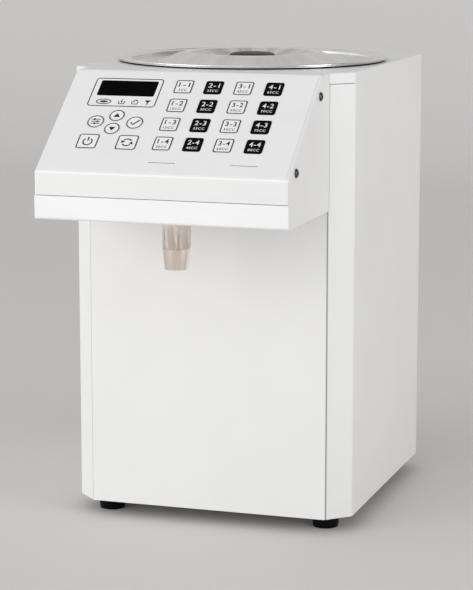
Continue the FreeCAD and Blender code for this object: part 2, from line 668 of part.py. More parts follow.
def control_hood():
    body = new_body("control_hood")
    side = new_sketch(body, "YZ")
    outline(side, [("front_y", "casing_top"), ("front_y - hood_top_reach", "casing_top"), ("lip_y", "lip_top"),
                   ("lip_y", "lip_bottom"), ("front_y", "lip_bottom")])
    pad(body, side, "hood_width", both=True)

    def is_fold(edge):
        box = edge.BoundBox
        return near(box.XLength, "hood_width") and box.YMax < val("front_y") - 1 and box.ZMin > val("lip_seam")

    def is_cheek_rim(edge):
        box = edge.BoundBox
        return box.XLength < 1e-3 and not near(box.YMin, "front_y") and not near(box.ZMax, "lip_bottom")

    dress(body, "Fillet", "bend_radius", is_fold)
    dress(body, "Fillet", "rim_radius", is_cheek_rim)
    inside = new_sketch(body, "YZ")
    outline(inside, [("front_y + sheet_gauge", "lip_bottom - sheet_gauge"),
                     ("front_y + sheet_gauge", "casing_top - sheet_gauge"),
                     ("front_y - hood_top_reach + sheet_gauge * tan(slope_angle / 2)", "casing_top - sheet_gauge"),
                     ("lip_y + sheet_gauge", "lip_top - sheet_gauge * tan(45 deg - slope_angle / 2)"),
                     ("lip_y + sheet_gauge", "lip_bottom - sheet_gauge")])
    pocket(body, inside, "2 * cheek_inner", both=True)
    half = "hood_width / 2 + sheet_gauge"
    band = new_sketch(body, "XZ", "-lip_y")
    rectangle(band, f"-({half})", "lip_bottom - sheet_gauge", half, "lip_seam")
    pocket(body, band, "2 * sheet_gauge", both=True)
    back = new_sketch(body, "XZ", "-front_y")
    rectangle(back, f"-({half})", "lip_bottom - sheet_gauge", half, "casing_top - sheet_gauge")
    pocket(body, back, "2 * sheet_gauge", both=True)
    seam = new_sketch(body, "YZ")
    rectangle(seam, "lip_y + sheet_gauge", "lip_seam - sheet_gauge", "lip_y + sheet_gauge + seam_width",
              "lip_top - bend_radius")
    pocket(body, seam, "hood_width * 2", both=True)
    windows = new_sketch(body, "XY", tilt="slope_angle")
    soft_rectangle(windows, "window_across - window_width / 2 + window_rim",
                   "window_up - window_length / 2 + window_rim", "window_across + window_width / 2 - window_rim",
                   "window_up + window_length / 2 - window_rim", "key_corner")
    pocket(body, windows, "4 * sheet_gauge", both=True)
    holes = new_sketch(body, "YZ")
    for along in ("cheek_screw_low", "cheek_screw_high"):
        y, z = slope_point(along, "cheek_screw_drop")
        circle(holes, "screw_radius + screw_fit", y, z)
    pocket(body, holes, "hood_width * 2", both=True)
    PARTS.append(body)


def slope_point(along, below):
    """The side view's coordinates of a point so far up the slope from the lip and so far below it."""
    y = f"lip_y + ({along}) * slope_cos + ({below}) * slope_sin"
    z = f"lip_top + ({along}) * slope_sin - ({below}) * slope_cos"
    return y, z


def on_slope(body):
    """Lay a body's XY plane on the slope, X across and Y up the slope from the lip's fold."""
    place(body, y="lip_y", z="lip_top", axis=(1, 0, 0), angle="slope_angle")


def hood_bottom_cover():
    body = new_body("hood_bottom_cover")
    band = new_sketch(body, "YZ")
    rectangle(band, "lip_y", "lip_bottom", "lip_y + sheet_gauge", "lip_seam - seam_width")
    pad(body, band, "hood_width", both=True)
    floor = new_sketch(body, "XY", "lip_bottom")
    half = "cheek_inner - seam_width / 2"
    rectangle(floor, f"-({half})", "lip_y + sheet_gauge / 2", half, "front_y - sheet_gauge")
    pad(body, floor, "tray_flange")
    well = new_sketch(body, "XY", "tray_top")
    rectangle(well, f"-({half} - sheet_gauge)", "lip_y + sheet_gauge", f"{half} - sheet_gauge",
              "front_y - 2 * sheet_gauge")
    pocket(body, well, "tray_flange", back=True)

    def is_front_fold(edge):
        box = edge.BoundBox
        return near(box.YMax, "lip_y") and near(box.ZMax, "lip_bottom")

    dress(body, "Fillet", "bend_radius", is_front_fold)
    hole = new_sketch(body, "XY", "lip_bottom")
    circle(hole, "stem_radius + stem_fit", y="nozzle_y")
    pocket(body, hole, "4 * sheet_gauge", both=True)
    PARTS.append(body)


def dose_place(column, rank):
    across = f"dose_first_across + {column} * dose_pitch_across"
    return across, f"dose_first_up - {rank} * dose_pitch_up"


def key_table():
    """Every key: its name, centre across and up the slope, and half sizes, or one radius."""
    for column in range(4):
        for rank in range(4):
            across, up = dose_place(column, rank)
            yield f"dose_key_{column + 1}_{rank + 1}", across, up, "dose_key_width / 2", "dose_key_length / 2"
    for name, across in (("key_power", "left_keys_across"), ("key_continuous", "right_keys_across")):
        yield name, across, "square_keys_up", "square_key_width / 2", "square_key_length / 2"
    for name, across in (("key_set", "left_keys_across"), ("key_save", "right_keys_across")):
        yield name, across, "round_keys_up", "round_key_radius", None
    for name, sign in (("key_up", "+"), ("key_down", "-")):
        up = f"round_keys_up {sign} arrow_key_spacing / 2"
        yield name, "arrow_keys_across", up, "arrow_key_radius", None


def key_outline(sketch, across, up, half_x, half_y, grow="0"):
    if half_y is None:
        circle(sketch, f"{half_x} + {grow}", across, up)
        return
    soft_rectangle(sketch, f"{across} - {half_x} - {grow}", f"{up} - {half_y} - {grow}",
                   f"{across} + {half_x} + {grow}", f"{up} + {half_y} + {grow}", f"key_corner + {grow}")


def keypad_overlay():
    body = new_body("keypad_overlay")
    on_slope(body)
    panel = new_sketch(body, "XY")
    half = "hood_width / 2 - overlay_side_margin"
    soft_rectangle(panel, f"-({half})", "overlay_low_margin", half, "slope_length - overlay_high_margin",
                   "key_corner")
    pad(body, panel, "overlay_gauge")
    first = new_sketch(body, "XY")
    across, up = dose_place(0, 0)
    key_outline(first, across, up, "dose_key_width / 2", "dose_key_length / 2", "key_gap")
    opening = pocket(body, first, "overlay_gauge * 3", both=True)
    columns = body.newObject("PartDesign::LinearPattern", "key_columns")
    columns.Direction = (first, ["H_Axis"])
    tie(columns, "Length", "dose_pitch_across * 3")
    columns.Occurrences = 4
    ranks = body.newObject("PartDesign::LinearPattern", "key_ranks")
    ranks.Direction = (first, ["V_Axis"])
    ranks.Reversed = True
    tie(ranks, "Length", "dose_pitch_up * 3")
    ranks.Occurrences = 4
    block = body.newObject("PartDesign::MultiTransform", "dose_openings")
    block.Originals = [opening]
    block.Transformations = [columns, ranks]
    body.Tip = block
    doc.recompute()
    rest = new_sketch(body, "XY")
    for name, across, up, half_x, half_y in key_table():
        if name.startswith("key_"):
            key_outline(rest, across, up, half_x, half_y, "key_gap")
    soft_rectangle(rest, "window_across - window_width / 2 - seam_width / 2",
                   "window_up - window_length / 2 - seam_width / 2",
                   "window_across + window_width / 2 + seam_width / 2",
                   "window_up + window_length / 2 + seam_width / 2", "seam_width")
    pocket(body, rest, "overlay_gauge * 3", both=True)
    PARTS.append(body)


def display_window():
    body = new_body("display_window")
    on_slope(body)
    lens = new_sketch(body, "XY")
    soft_rectangle(lens, "window_across - window_width / 2", "window_up - window_length / 2",
                   "window_across + window_width / 2", "window_up + window_length / 2", "seam_width")
    pad(body, lens, "overlay_gauge")
    PARTS.append(body)


def keys():
    for name, across, up, half_x, half_y in key_table():
        body = new_body(name)
        on_slope(body)
        cap = new_sketch(body, "XY", "key_travel + key_rest_gap")
        key_outline(cap, across, up, half_x, half_y)
        pad(body, cap, "key_gauge")
        PARTS.append(body)


def board_carrier():
    body = new_body("board_carrier")
    on_slope(body)
    plate = new_sketch(body, "XY", "-carrier_depth")
    rectangle(plate, "-carrier_half", "carrier_inset", "carrier_half", "slope_length - carrier_inset")
    pad(body, plate, "sheet_gauge")
    ears = new_sketch(body, "XY", "-carrier_depth")
    for sign in ("", "-"):
        rectangle(ears, f"{sign}carrier_half", "carrier_inset", f"{sign}(carrier_half - sheet_gauge)",
                  "slope_length - carrier_inset")
    pad(body, ears, "carrier_depth - cheek_screw_drop / 2")
    pillars = new_sketch(body, "XY", "sheet_gauge / 2 - carrier_depth")
    for sign_x in ("", "-"):
        for sign_y in ("+", "-"):
            circle(pillars, "pillar_radius", f"{sign_x}(board_width / 2 - pillar_inset)",
                   f"board_middle {sign_y} (board_length / 2 - pillar_inset)")
    pad(body, pillars, "pillar_height + sheet_gauge / 2")
    holes = new_sketch(body, "YZ")
    for along in ("cheek_screw_low", "cheek_screw_high"):
        circle(holes, "screw_radius + screw_fit", along, "-cheek_screw_drop")
    pocket(body, holes, "hood_width", both=True)
    PARTS.append(body)


def control_board():
    body = new_body("control_board")
    on_slope(body)
    board = new_sketch(body, "XY", "board_top - board_gauge")
    soft_rectangle(board, "-board_width / 2", "board_middle - board_length / 2", "board_width / 2",
                   "board_middle + board_length / 2", "key_corner")
    pad(body, board, "board_gauge")
    chips = new_sketch(body, "XY", "board_top")
    rectangle(chips, "-chip_width / 2", "board_middle - chip_width / 2", "chip_width / 2",
              "board_middle + chip_width / 2")
    rectangle(chips, "2 * chip_width", "board_middle - chip_width", "2.5 * chip_width",
              "board_middle - chip_width / 2")
    pad(body, chips, "board_gauge")
    sockets = new_sketch(body, "XY", "board_top")
    rectangle(sockets, "board_width / 2 - socket_inset - socket_width", "board_middle - socket_length / 2",
              "board_width / 2 - socket_inset", "board_middle + socket_length / 2")
    rectangle(sockets, "socket_inset - board_width / 2", "board_middle - socket_length",
              "socket_inset - board_width / 2 + chip_width", "board_middle - socket_length / 2")
    pad(body, sockets, "pillar_height")
    PARTS.append(body)


def display_module():
    body = new_body("display_module")
    on_slope(body)
    case = new_sketch(body, "XY", "board_top")
    soft_rectangle(case, "window_across - window_width / 2 + window_rim",
                   "window_up - window_length / 2 + window_rim",
                   "window_across + window_width / 2 - window_rim",
                   "window_up + window_length / 2 - window_rim", "seam_width")
    pad(body, case, "-board_top - sheet_gauge - key_gap")
    PARTS.append(body)


def corners(radius, sides, turn):
    """Corners of a regular polygon about the origin, turned clockwise by an angle in degrees."""
    angles = [360 * i // sides for i in range(sides)]
    return [(f"{radius} * cos({angle} - {turn})", f"{radius} * sin({angle} - {turn})") for angle in angles]


def hexagon_screw(label, grip):
    """A hexagon-headed screw; its shank is a twelve-sided bar inside its round hole."""
    body = new_body(label)
    head = new_sketch(body, "XY")
    outline(head, corners("screw_head", 6, "15"))
    pad(body, head, "screw_dome")
    shank = new_sketch(body, "XY")
    outline(shank, corners("screw_radius", 12, "15"))
    pad(body, shank, grip, back=True)
    return body


def screw_at(master, x, y, z, axis, angle):
    """One more copy of a screw, its head's seat at the point and its head turned to face outwards."""
    link = doc.addObject("App::Link", master.Label + "_copy")
    link.LinkedObject = master
    link.LinkTransform = False
    turn = FreeCAD.Rotation(FreeCAD.Vector(*axis), angle)
    link.Placement = FreeCAD.Placement(FreeCAD.Vector(), turn)
    for prop, text in (("x", x), ("y", y), ("z", z)):
        tie(link, "Placement.Base." + prop, text)
    return link


def hood_screws():
    master = new_body("cheek_screw")
    turned(master, [("0", "-screw_grip"), ("screw_radius", "-screw_grip"), ("screw_radius", "0"),
                    ("screw_head", "0"), ("screw_head * 0.62", "screw_dome"), ("0", "screw_dome")])
    copies = []
    for x, angle in (("hood_width / 2", 90), ("-hood_width / 2", -90)):
        for along in ("cheek_screw_low", "cheek_screw_high"):
            y, z = slope_point(along, "cheek_screw_drop")
            copies.append(screw_at(master, x, y, z, (0, 1, 0), angle))
    PARTS.append(grouped("hood_screws", copies))


def machine_screws():
    short = hexagon_screw("short_screw", "screw_grip")
    long_screw = hexagon_screw("long_screw", "pump_rear - pump_y + pump_cover_gauge + bracket_gauge")
    copies = []
    for x, z in rear_screw_places():
        copies.append(screw_at(short, x, "panel_rear", z, (1, 0, 0), -90))
    for side in ("+", "-"):
        copies.append(screw_at(short, f"mains_across {side} inlet_screw_x", "panel_rear + inlet_flange",
                               "inlet_height", (1, 0, 0), -90))
    for x, y in foot_places():
        copies.append(screw_at(short, x, y, "foot_height / 2", (1, 0, 0), 180))
    for x, y in bracket_screw_places():
        copies.append(screw_at(short, x, y, "floor_top + bracket_gauge", (1, 0, 0), 0))
    for x, z in pump_screw_places():
        copies.append(screw_at(long_screw, x, "pump_y - pump_cover_gauge", z, (1, 0, 0), 90))
    PARTS.append(grouped("machine_screws", copies))


def pump_screw_places():
    for side in ("+", "-"):
        for z in ("drive_axis - pump_screw_in", "idler_axis + pump_screw_in"):
            yield f"pump_across {side} pump_screw_in", z


def tank():
    body = new_body("tank")
    wall = "tank_radius - tank_gauge"
    neck = "outlet_radius - 2 * tank_gauge"
    turned(body, [(neck, "tank_bottom"), ("tank_floor_radius", "tank_bottom"),
                  ("tank_radius - tank_heel", "tank_bottom + tank_floor_drop"),
                  ("tank_radius", "tank_bottom + tank_floor_drop + tank_heel"), ("tank_radius", "tank_seat"),
                  ("tank_flange_radius", "tank_seat"), ("tank_flange_radius", "flange_top"),
                  (wall, "flange_top"), (wall, "tank_bottom + tank_floor_drop + tank_heel"),
                  ("tank_radius - tank_heel", "tank_bottom + tank_floor_drop + tank_gauge * sqrt(2)"),
                  ("tank_floor_radius", "tank_bottom + tank_gauge"), (neck, "tank_bottom + tank_gauge")])
    place(body, y="tank_y")
    PARTS.append(body)


def tank_gasket():
    body = new_body("tank_gasket")
    turned(body, [("tank_radius + panel_gap", "casing_top"), ("tank_flange_radius - tank_gauge", "casing_top"),
                  ("tank_flange_radius - tank_gauge", "tank_seat"), ("tank_radius + panel_gap", "tank_seat")])
    place(body, y="tank_y")
    PARTS.append(body)


def heater_band():
    body = new_body("heater_band")
    inner = "tank_radius + hose_fit"
    foot = "tank_bottom + tank_floor_drop + heater_rise"
    turned(body, [(inner, foot), (f"{inner} + heater_gauge", foot),
                  (f"{inner} + heater_gauge", f"{foot} + heater_height"), (inner, f"{foot} + heater_height")])
    gap = new_sketch(body, "XZ")
    rectangle(gap, "-vent_width", f"{foot} - 1", "vent_width", f"{foot} + heater_height + 1")
    pocket(body, gap, "tank_flange_radius")
    place(body, y="tank_y")
    PARTS.append(body)


def lid():
    body = new_body("lid")
    skirt = "tank_radius - tank_gauge - lid_fit"
    turned(body, [("lid_radius", "0"), ("lid_radius", "lid_gauge"), (f"{skirt} - lid_gauge", "lid_gauge"),
                  (f"{skirt} - lid_gauge", "lid_gauge - lid_recess"), ("lid_cone_base", "lid_gauge - lid_recess"),
                  ("lid_ring_radius", "lid_ring_height + lid_gauge"),
                  ("lid_ring_radius - lid_ring_width", "lid_ring_height + lid_gauge"),
                  ("lid_dish_radius", "lid_gauge - lid_dish_drop"), ("0", "lid_gauge - lid_dish_drop"),
                  ("0", "-lid_dish_drop"), ("lid_dish_radius", "-lid_dish_drop"),
                  ("lid_ring_radius - lid_ring_width", "lid_ring_height"), ("lid_ring_radius", "lid_ring_height"),
                  ("lid_cone_base", "-lid_recess"), (skirt, "-lid_recess"), (skirt, "0")])
    place(body, y="tank_y", z="flange_top")
    PARTS.append(body)


def lid_knob():
    body = new_body("lid_knob")
    turned(body, [("0", "0"), ("knob_waist", "0"), ("knob_radius", "knob_height * 0.55"),
                  ("knob_radius", "knob_height * 0.8"), ("knob_waist", "knob_height"), ("0", "knob_height")])
    place(body, y="tank_y", z="flange_top + lid_gauge - lid_dish_drop")
    PARTS.append(body)


def tank_outlet():
    body = new_body("tank_outlet")
    neck = "outlet_radius - 2 * tank_gauge - stem_fit"
    foot = "tank_bottom - outlet_flange - outlet_drop"
    turned(body, [("0", "tank_bottom + tank_gauge"), (neck, "tank_bottom + tank_gauge"), (neck, "tank_bottom"),
                  ("outlet_flange_radius", "tank_bottom"),
                  ("outlet_flange_radius", "tank_bottom - outlet_flange"),
                  ("outlet_radius", "tank_bottom - outlet_flange"), ("outlet_radius", foot), ("0", foot)])
    shoulder = new_sketch(body, "XZ")
    circle(shoulder, "hose_radius + tank_gauge", y="outlet_axis")
    pad(body, shoulder, "outlet_shoulder")
    spigot = new_sketch(body, "XZ")
    circle(spigot, "spigot_radius", y="outlet_axis")
    pad(body, spigot, "outlet_shoulder + spigot_length")
    drain = new_sketch(body, "XY", "tank_bottom + tank_gauge")
    circle(drain, "2 * duct_radius")
    pocket(body, drain, "tank_bottom + tank_gauge - outlet_axis + duct_radius")
    duct = new_sketch(body, "XZ")
    circle(duct, "duct_radius", y="outlet_axis")
    pocket(body, duct, "2 * outlet_shoulder + 2 * spigot_length", back=True)
    place(body, y="tank_y")
    PARTS.append(body)


def route(points):
    """A wire of straight runs joined by tangent arcs, each as large as its two runs allow."""
    stops = [FreeCAD.Vector(*(val(text) for text in point)) for point in points]
    edges = []
    start = stops[0]
    for before, corner, after in zip(stops, stops[1:], stops[2:]):
        come = (corner - before).normalize()
        leave = (after - corner).normalize()
        turn = come.getAngle(leave)
        reach = 0.45 * min(corner.distanceToPoint(before), corner.distanceToPoint(after))
        radius = reach / math.tan(turn / 2)
        begin = corner - come * reach
        end = corner + leave * reach
        bisector = (leave - come).normalize()
        centre = corner + bisector * (radius / math.cos(turn / 2))
        middle = centre - bisector * radius
        edges.append(Part.LineSegment(start, begin).toShape())
        edges.append(Part.Arc(begin, middle, end).toShape())
        start = end
        print(f"  bend radius {radius:.0f} mm")
    edges.append(Part.LineSegment(start, stops[-1]).toShape())
    return Part.Wire(edges)


def hose(label, points):
    """A hose along a route, bored where its ends go over their spigots."""
    path = route(points)
    ends = [(path.Edges[0].valueAt(path.Edges[0].FirstParameter), path.Edges[0].tangentAt(0))]
    last = path.Edges[-1]
    ends.append((last.valueAt(last.LastParameter), last.tangentAt(last.LastParameter).negative()))
    start, heading = ends[0]
    ring = Part.Wire([Part.Circle(start, heading, val("hose_radius")).toShape()])
    tube = path.makePipeShell([ring], True, True)
    volume = math.pi * val("hose_radius") ** 2 * path.Length
    if abs(tube.Volume / volume - 1) > 0.01:
        raise RuntimeError(f"{label}: the hose's volume doesn't match its length")
    for point, inwards in ends:
        tube = tube.cut(Part.makeCylinder(val("hose_bore"), val("spigot_length + seam_width"), point, inwards))
    piece = doc.addObject("Part::Feature", label)
    piece.Label = label
    piece.Shape = tube
    PARTS.append(piece)


def suction_hose():
    hose("suction_hose", [
        ("0", "tank_y - outlet_shoulder", "outlet_axis"),
        ("0", "tank_y - outlet_shoulder - 34", "outlet_axis"),
        ("34", "port_y + 12", "outlet_axis - 36"),
        ("pump_across + port_shoulder + 40", "port_y", "port_axis"),
        ("pump_across + port_shoulder", "port_y", "port_axis"),
    ])


def delivery_hose():
    hose("delivery_hose", [
        ("pump_across - port_shoulder", "port_y", "port_axis"),
        ("pump_across - port_shoulder - 40", "port_y", "port_axis"),
        ("pump_across - port_shoulder - 34", "port_y - 10", "port_axis + 88"),
        ("-hood_width / 3", "front_y + 36", "barb_axis"),
        ("-hood_width / 3", "front_y - 40", "barb_axis"),
        ("0", "nozzle_y + stem_radius + port_boss_length + 36", "barb_axis"),
        ("0", "nozzle_y + stem_radius + port_boss_length", "barb_axis"),
    ])


def pump_outline(sketch):
    soft_rectangle(sketch, "pump_across - pump_half", "drive_axis - pump_half", "pump_across + pump_half",
                   "idler_axis + pump_half", "pump_wall")


def pump_body():
    body = new_body("pump_body")
    block = new_sketch(body, "XZ", "-pump_y")
    pump_outline(block)
    for x, z in pump_screw_places():
        circle(block, "screw_radius + screw_fit", x, z)
    pad(body, block, "chamber_depth + pump_back_wall", back=True)
    for radius, reach in (("port_boss_radius", "port_shoulder"),
                          ("spigot_radius", "port_shoulder + spigot_length")):
        for sign in ("", "-"):
            boss = new_sketch(body, "YZ", f"pump_across {sign or '+'} (pump_half - pump_wall / 2)")
            circle(boss, radius, "port_y", "port_axis")
            pad(body, boss, f"{reach} - pump_half + pump_wall / 2", back=bool(sign))
    for axis in ("drive_axis", "idler_axis"):
        chamber = new_sketch(body, "XZ", "-pump_y")
        circle(chamber, "chamber_radius", "pump_across", axis)
        pocket(body, chamber, "chamber_depth")
    drive_bore = new_sketch(body, "XZ", "-pump_y")
    circle(drive_bore, "shaft_radius + shaft_fit", "pump_across", "drive_axis")
    pocket(body, drive_bore, "2 * pump_rear - 2 * pump_y")
    idler_bore = new_sketch(body, "XZ", "-(pump_y + chamber_depth)")
    circle(idler_bore, "shaft_radius + shaft_fit", "pump_across", "idler_axis")
    pocket(body, idler_bore, "bearing_depth + gear_side_gap")
    ports = new_sketch(body, "YZ", "pump_across")
    circle(ports, "duct_radius", "port_y", "port_axis")
    pocket(body, ports, "2 * port_shoulder + 2 * spigot_length + 2", both=True)
    PARTS.append(body)


def pump_cover():
    body = new_body("pump_cover")
    plate = new_sketch(body, "XZ", "-(pump_y - pump_cover_gauge)")
    pump_outline(plate)
    for x, z in pump_screw_places():
        circle(plate, "screw_radius + screw_fit", x, z)
    pad(body, plate, "pump_cover_gauge", back=True)
    bores = new_sketch(body, "XZ", "-pump_y")
    for axis in ("drive_axis", "idler_axis"):
        circle(bores, "shaft_radius + shaft_fit", "pump_across", axis)
    pocket(body, bores, "bearing_depth + gear_side_gap", back=True)
    PARTS.append(body)


def tooth_flank():
    """Points up one involute flank: (half thickness angle, radius), from the root to the tip."""
    base = val("pitch_radius") * math.cos(math.radians(val("pressure_angle")))
    relief = val("tooth_relief") / val("pitch_radius")
    pitch_half = math.pi / (2 * val("gear_teeth")) - relief
    pressure = math.radians(val("pressure_angle"))
    start = max(base, val("root_radius"))
    steps = 4
    flank = []
    for i in range(steps + 1):
        radius = start + (val("tip_radius") - start) * i / steps
        lean = math.acos(base / radius)
        unwound = (math.tan(pressure) - pressure) - (math.tan(lean) - lean)
        flank.append((pitch_half + unwound, radius))
    return flank


def polar(angle, radius):
    return FreeCAD.Vector(radius * math.sin(angle), radius * math.cos(angle), 0)


def gear(label, shaft_end, axis, turn):
    """A spur gear cut in one with its shaft: root disc, one involute tooth, a polar pattern, the shaft."""
    body = new_body(label)
    face = "-(pump_y + gear_side_gap)"
    disc = new_sketch(body, "XZ", face)
    circle(disc, "root_radius")
    pad(body, disc, "gear_width", back=True)
    tooth = new_sketch(body, "XZ", face)
    flank = tooth_flank()
    foot = (flank[0][0], val("root_radius") - val("gear_module") / 4)
    left = [polar(-angle, radius) for angle, radius in flank]
    right = [polar(angle, radius) for angle, radius in reversed(flank)]
    middle = len(flank) // 2
    rise = Part.Arc(left[0], left[middle], left[-1])
    fall = Part.Arc(right[0], right[middle], right[-1])
    crown = Part.Arc(left[-1], FreeCAD.Vector(0, flank[-1][1], 0), right[0])
    runs = [Part.LineSegment(polar(-foot[0], foot[1]), left[0]), rise, crown, fall,
            Part.LineSegment(right[-1], polar(foot[0], foot[1])),
            Part.LineSegment(polar(foot[0], foot[1]), polar(-foot[0], foot[1]))]
    for run in runs:
        tooth.addGeometry(run, False)
    cog = pad(body, tooth, "gear_width", back=True)
    ring = body.newObject("PartDesign::PolarPattern", label + "_teeth")
    ring.Originals = [cog]
    ring.Axis = (tooth, ["N_Axis"])
    ring.Angle = 360
    tie(ring, "Occurrences", "gear_teeth")
    body.Tip = ring
    doc.recompute()
    shaft = new_sketch(body, "XZ", "-(pump_y - bearing_depth)")
    circle(shaft, "shaft_radius")
    pad(body, shaft, shaft_end, back=True)
    place(body, x="pump_across", z=axis, axis=(0, 1, 0), angle=turn)
    PARTS.append(body)


def gears():
    gear("drive_gear", "pump_rear + bracket_gauge + coupling_bay / 2 - pump_y + bearing_depth - seam_width",
         "drive_axis", "0")
    gear("idler_gear", "chamber_depth + 2 * bearing_depth", "idler_axis", "180 / gear_teeth")


def along_shaft(label, points):
    """A turned piece on the pump's drive axis: points are radius and depth behind the pump's rear face."""
    body = new_body(label)
    turned(body, points)
    place(body, "pump_across", "pump_rear", "drive_axis", axis=(1, 0, 0), angle="-90")
    PARTS.append(body)


def drive_train():
    bore = "shaft_radius + shaft_fit"
    middle = "bracket_gauge + coupling_bay / 2"
    start, end = f"{middle} - coupling_length / 2", f"{middle} + coupling_length / 2"
    waist = "coupling_radius - tank_gauge"
    along_shaft("shaft_coupling", [
        (bore, start), ("coupling_radius", start), ("coupling_radius", f"{middle} - vent_width / 2"),
        (waist, f"{middle} - vent_width / 2"), (waist, f"{middle} + vent_width / 2"),
        ("coupling_radius", f"{middle} + vent_width / 2"), ("coupling_radius", end), (bore, end)])
    front = "gearbox_y - pump_rear"
    along_shaft("motor_shaft", [
        ("0", f"{middle} + seam_width"), ("shaft_radius", f"{middle} + seam_width"),
        ("shaft_radius", f"{front} + gearbox_length / 2"), ("0", f"{front} + gearbox_length / 2")])
    neck = "coupling_radius + bracket_gauge"
    step = f"{front} + gearbox_length"
    end = f"{step} + motor_length"
    along_shaft("gear_motor", [
        (bore, f"{front} - bracket_gauge"), (neck, f"{front} - bracket_gauge"), (neck, front),
        ("gearbox_radius", front), ("gearbox_radius", step), ("motor_radius", step), ("motor_radius", end),
        ("shaft_radius * 2", end), ("shaft_radius * 2", f"{end} + bracket_gauge"),
        ("0", f"{end} + bracket_gauge"), ("0", f"{front} + gearbox_length / 2 + seam_width"),
        (bore, f"{front} + gearbox_length / 2 + seam_width")])


def pump_bracket():
    body = new_body("pump_bracket")
    channel = new_sketch(body, "YZ", "pump_across")
    top = "drive_axis + bracket_rise"
    outline(channel, [("pump_rear", "floor_top"), ("gearbox_y", "floor_top"), ("gearbox_y", top),
                      ("gearbox_y - bracket_gauge", top), ("gearbox_y - bracket_gauge", "floor_top + bracket_gauge"),
                      ("pump_rear + bracket_gauge", "floor_top + bracket_gauge"),
                      ("pump_rear + bracket_gauge", top), ("pump_rear", top)])
    pad(body, channel, "bracket_width", both=True)
    front_hole = new_sketch(body, "XZ", "-pump_rear")
    circle(front_hole, "coupling_radius + bracket_gauge", "pump_across", "drive_axis")
    for x, z in pump_screw_places():
        circle(front_hole, "screw_radius + screw_fit", x, z)
    pocket(body, front_hole, "bracket_gauge * 2", both=True)
    rear_hole = new_sketch(body, "XZ", "-gearbox_y")
    circle(rear_hole, "coupling_radius + bracket_gauge + stem_fit", "pump_across", "drive_axis")
    pocket(body, rear_hole, "bracket_gauge * 3", both=True)
    foot = new_sketch(body, "XY", "floor_top")
    for x, y in bracket_screw_places():
        circle(foot, "screw_radius + screw_fit", x, y)
    pocket(body, foot, "bracket_gauge * 3", both=True)
    PARTS.append(body)


def nozzle_body():
    body = new_body("nozzle_body")
    top = "tray_top + stem_height"
    turned(body, [("0", "seat_z"), ("stem_radius", "seat_z"), ("stem_radius", "tray_top"),
                  ("collar_radius", "tray_top"), ("collar_radius", "tray_top + collar_height"),
                  ("stem_radius", "tray_top + collar_height"), ("stem_radius", top), ("0", top)])
    for radius, reach in (("hose_radius + tank_gauge", "stem_radius + port_boss_length"),
                          ("spigot_radius", "stem_radius + port_boss_length + spigot_length")):
        arm = new_sketch(body, "XZ")
        circle(arm, radius, y="barb_axis")
        pad(body, arm, reach, back=True)
    along = new_sketch(body, "XZ")
    circle(along, "duct_radius", y="barb_axis")
    pocket(body, along, "stem_radius + port_boss_length + spigot_length + 1")
    down = new_sketch(body, "XY", "seat_z")
    circle(down, "duct_radius")
    pocket(body, down, "barb_axis - seat_z + duct_radius", back=True)
    place(body, y="nozzle_y")
    PARTS.append(body)


def nozzle_tip():
    body = new_body("nozzle_tip")
    thread = "stem_radius + shaft_fit"
    shoulder = "lip_bottom - nozzle_straight"
    turned(body, [(thread, "lip_bottom"), ("nozzle_radius", "lip_bottom"), ("nozzle_radius", shoulder),
                  ("nozzle_tip_radius", "nozzle_mouth"), ("nozzle_mouth_bore", "nozzle_mouth"),
                  ("nozzle_mouth_bore", "ledge_z"), ("nozzle_bore", "ledge_z"), ("nozzle_bore", "seat_z"),
                  (thread, "seat_z")])
    flats = new_sketch(body, "XY", "lip_bottom")
    circle(flats, "2 * nozzle_radius - nozzle_flat")
    outline(flats, corners("nozzle_flat / cos(30)", 6, "nozzle_turn"))
    pocket(body, flats, "nozzle_length")
    place(body, y="nozzle_y")
    PARTS.append(body)


def valve_poppet():
    body = new_body("valve_poppet")
    under = "seat_z - valve_head"
    turned(body, [("0", "seat_z + valve_pilot"), ("valve_pilot_radius", "seat_z + valve_pilot"),
                  ("valve_pilot_radius", "seat_z"), ("valve_head_radius", "seat_z"), ("valve_head_radius", under),
                  ("valve_pin_radius", under), ("valve_pin_radius", f"{under} - valve_pin"),
                  ("0", f"{under} - valve_pin")])
    place(body, y="nozzle_y")
    PARTS.append(body)


def valve_spring():
    """The coil as mitred straight runs of square wire, a ring of them to each turn."""
    wire = val("spring_wire")
    foot = val("ledge_z") + wire
    rise = val("seat_z - valve_head - spring_play") - wire - foot
    sides = 12
    steps = int(sides * val("spring_turns"))
    stops = []
    for i in range(steps + 1):
        angle = 2 * math.pi * i / sides
        level = foot + rise * i / steps
        stops.append(FreeCAD.Vector(math.cos(angle), math.sin(angle), 0) * val("spring_radius"))
        stops[-1].z = level
    square = [FreeCAD.Vector(dx, 0, dz) + stops[0] for dx, dz in
              ((-wire, -wire), (wire, -wire), (wire, wire), (-wire, wire), (-wire, -wire))]
    sweep = Part.BRepOffsetAPI.MakePipeShell(Part.makePolygon(stops))
    sweep.setTransitionMode(1)
    sweep.setFrenetMode(True)
    sweep.add(Part.makePolygon(square))
    sweep.build()
    sweep.makeSolid()
    spring = doc.addObject("Part::Feature", "valve_spring")
    spring.Label = "valve_spring"
    spring.Shape = sweep.shape()
    place(spring, y="nozzle_y")
    PARTS.append(spring)


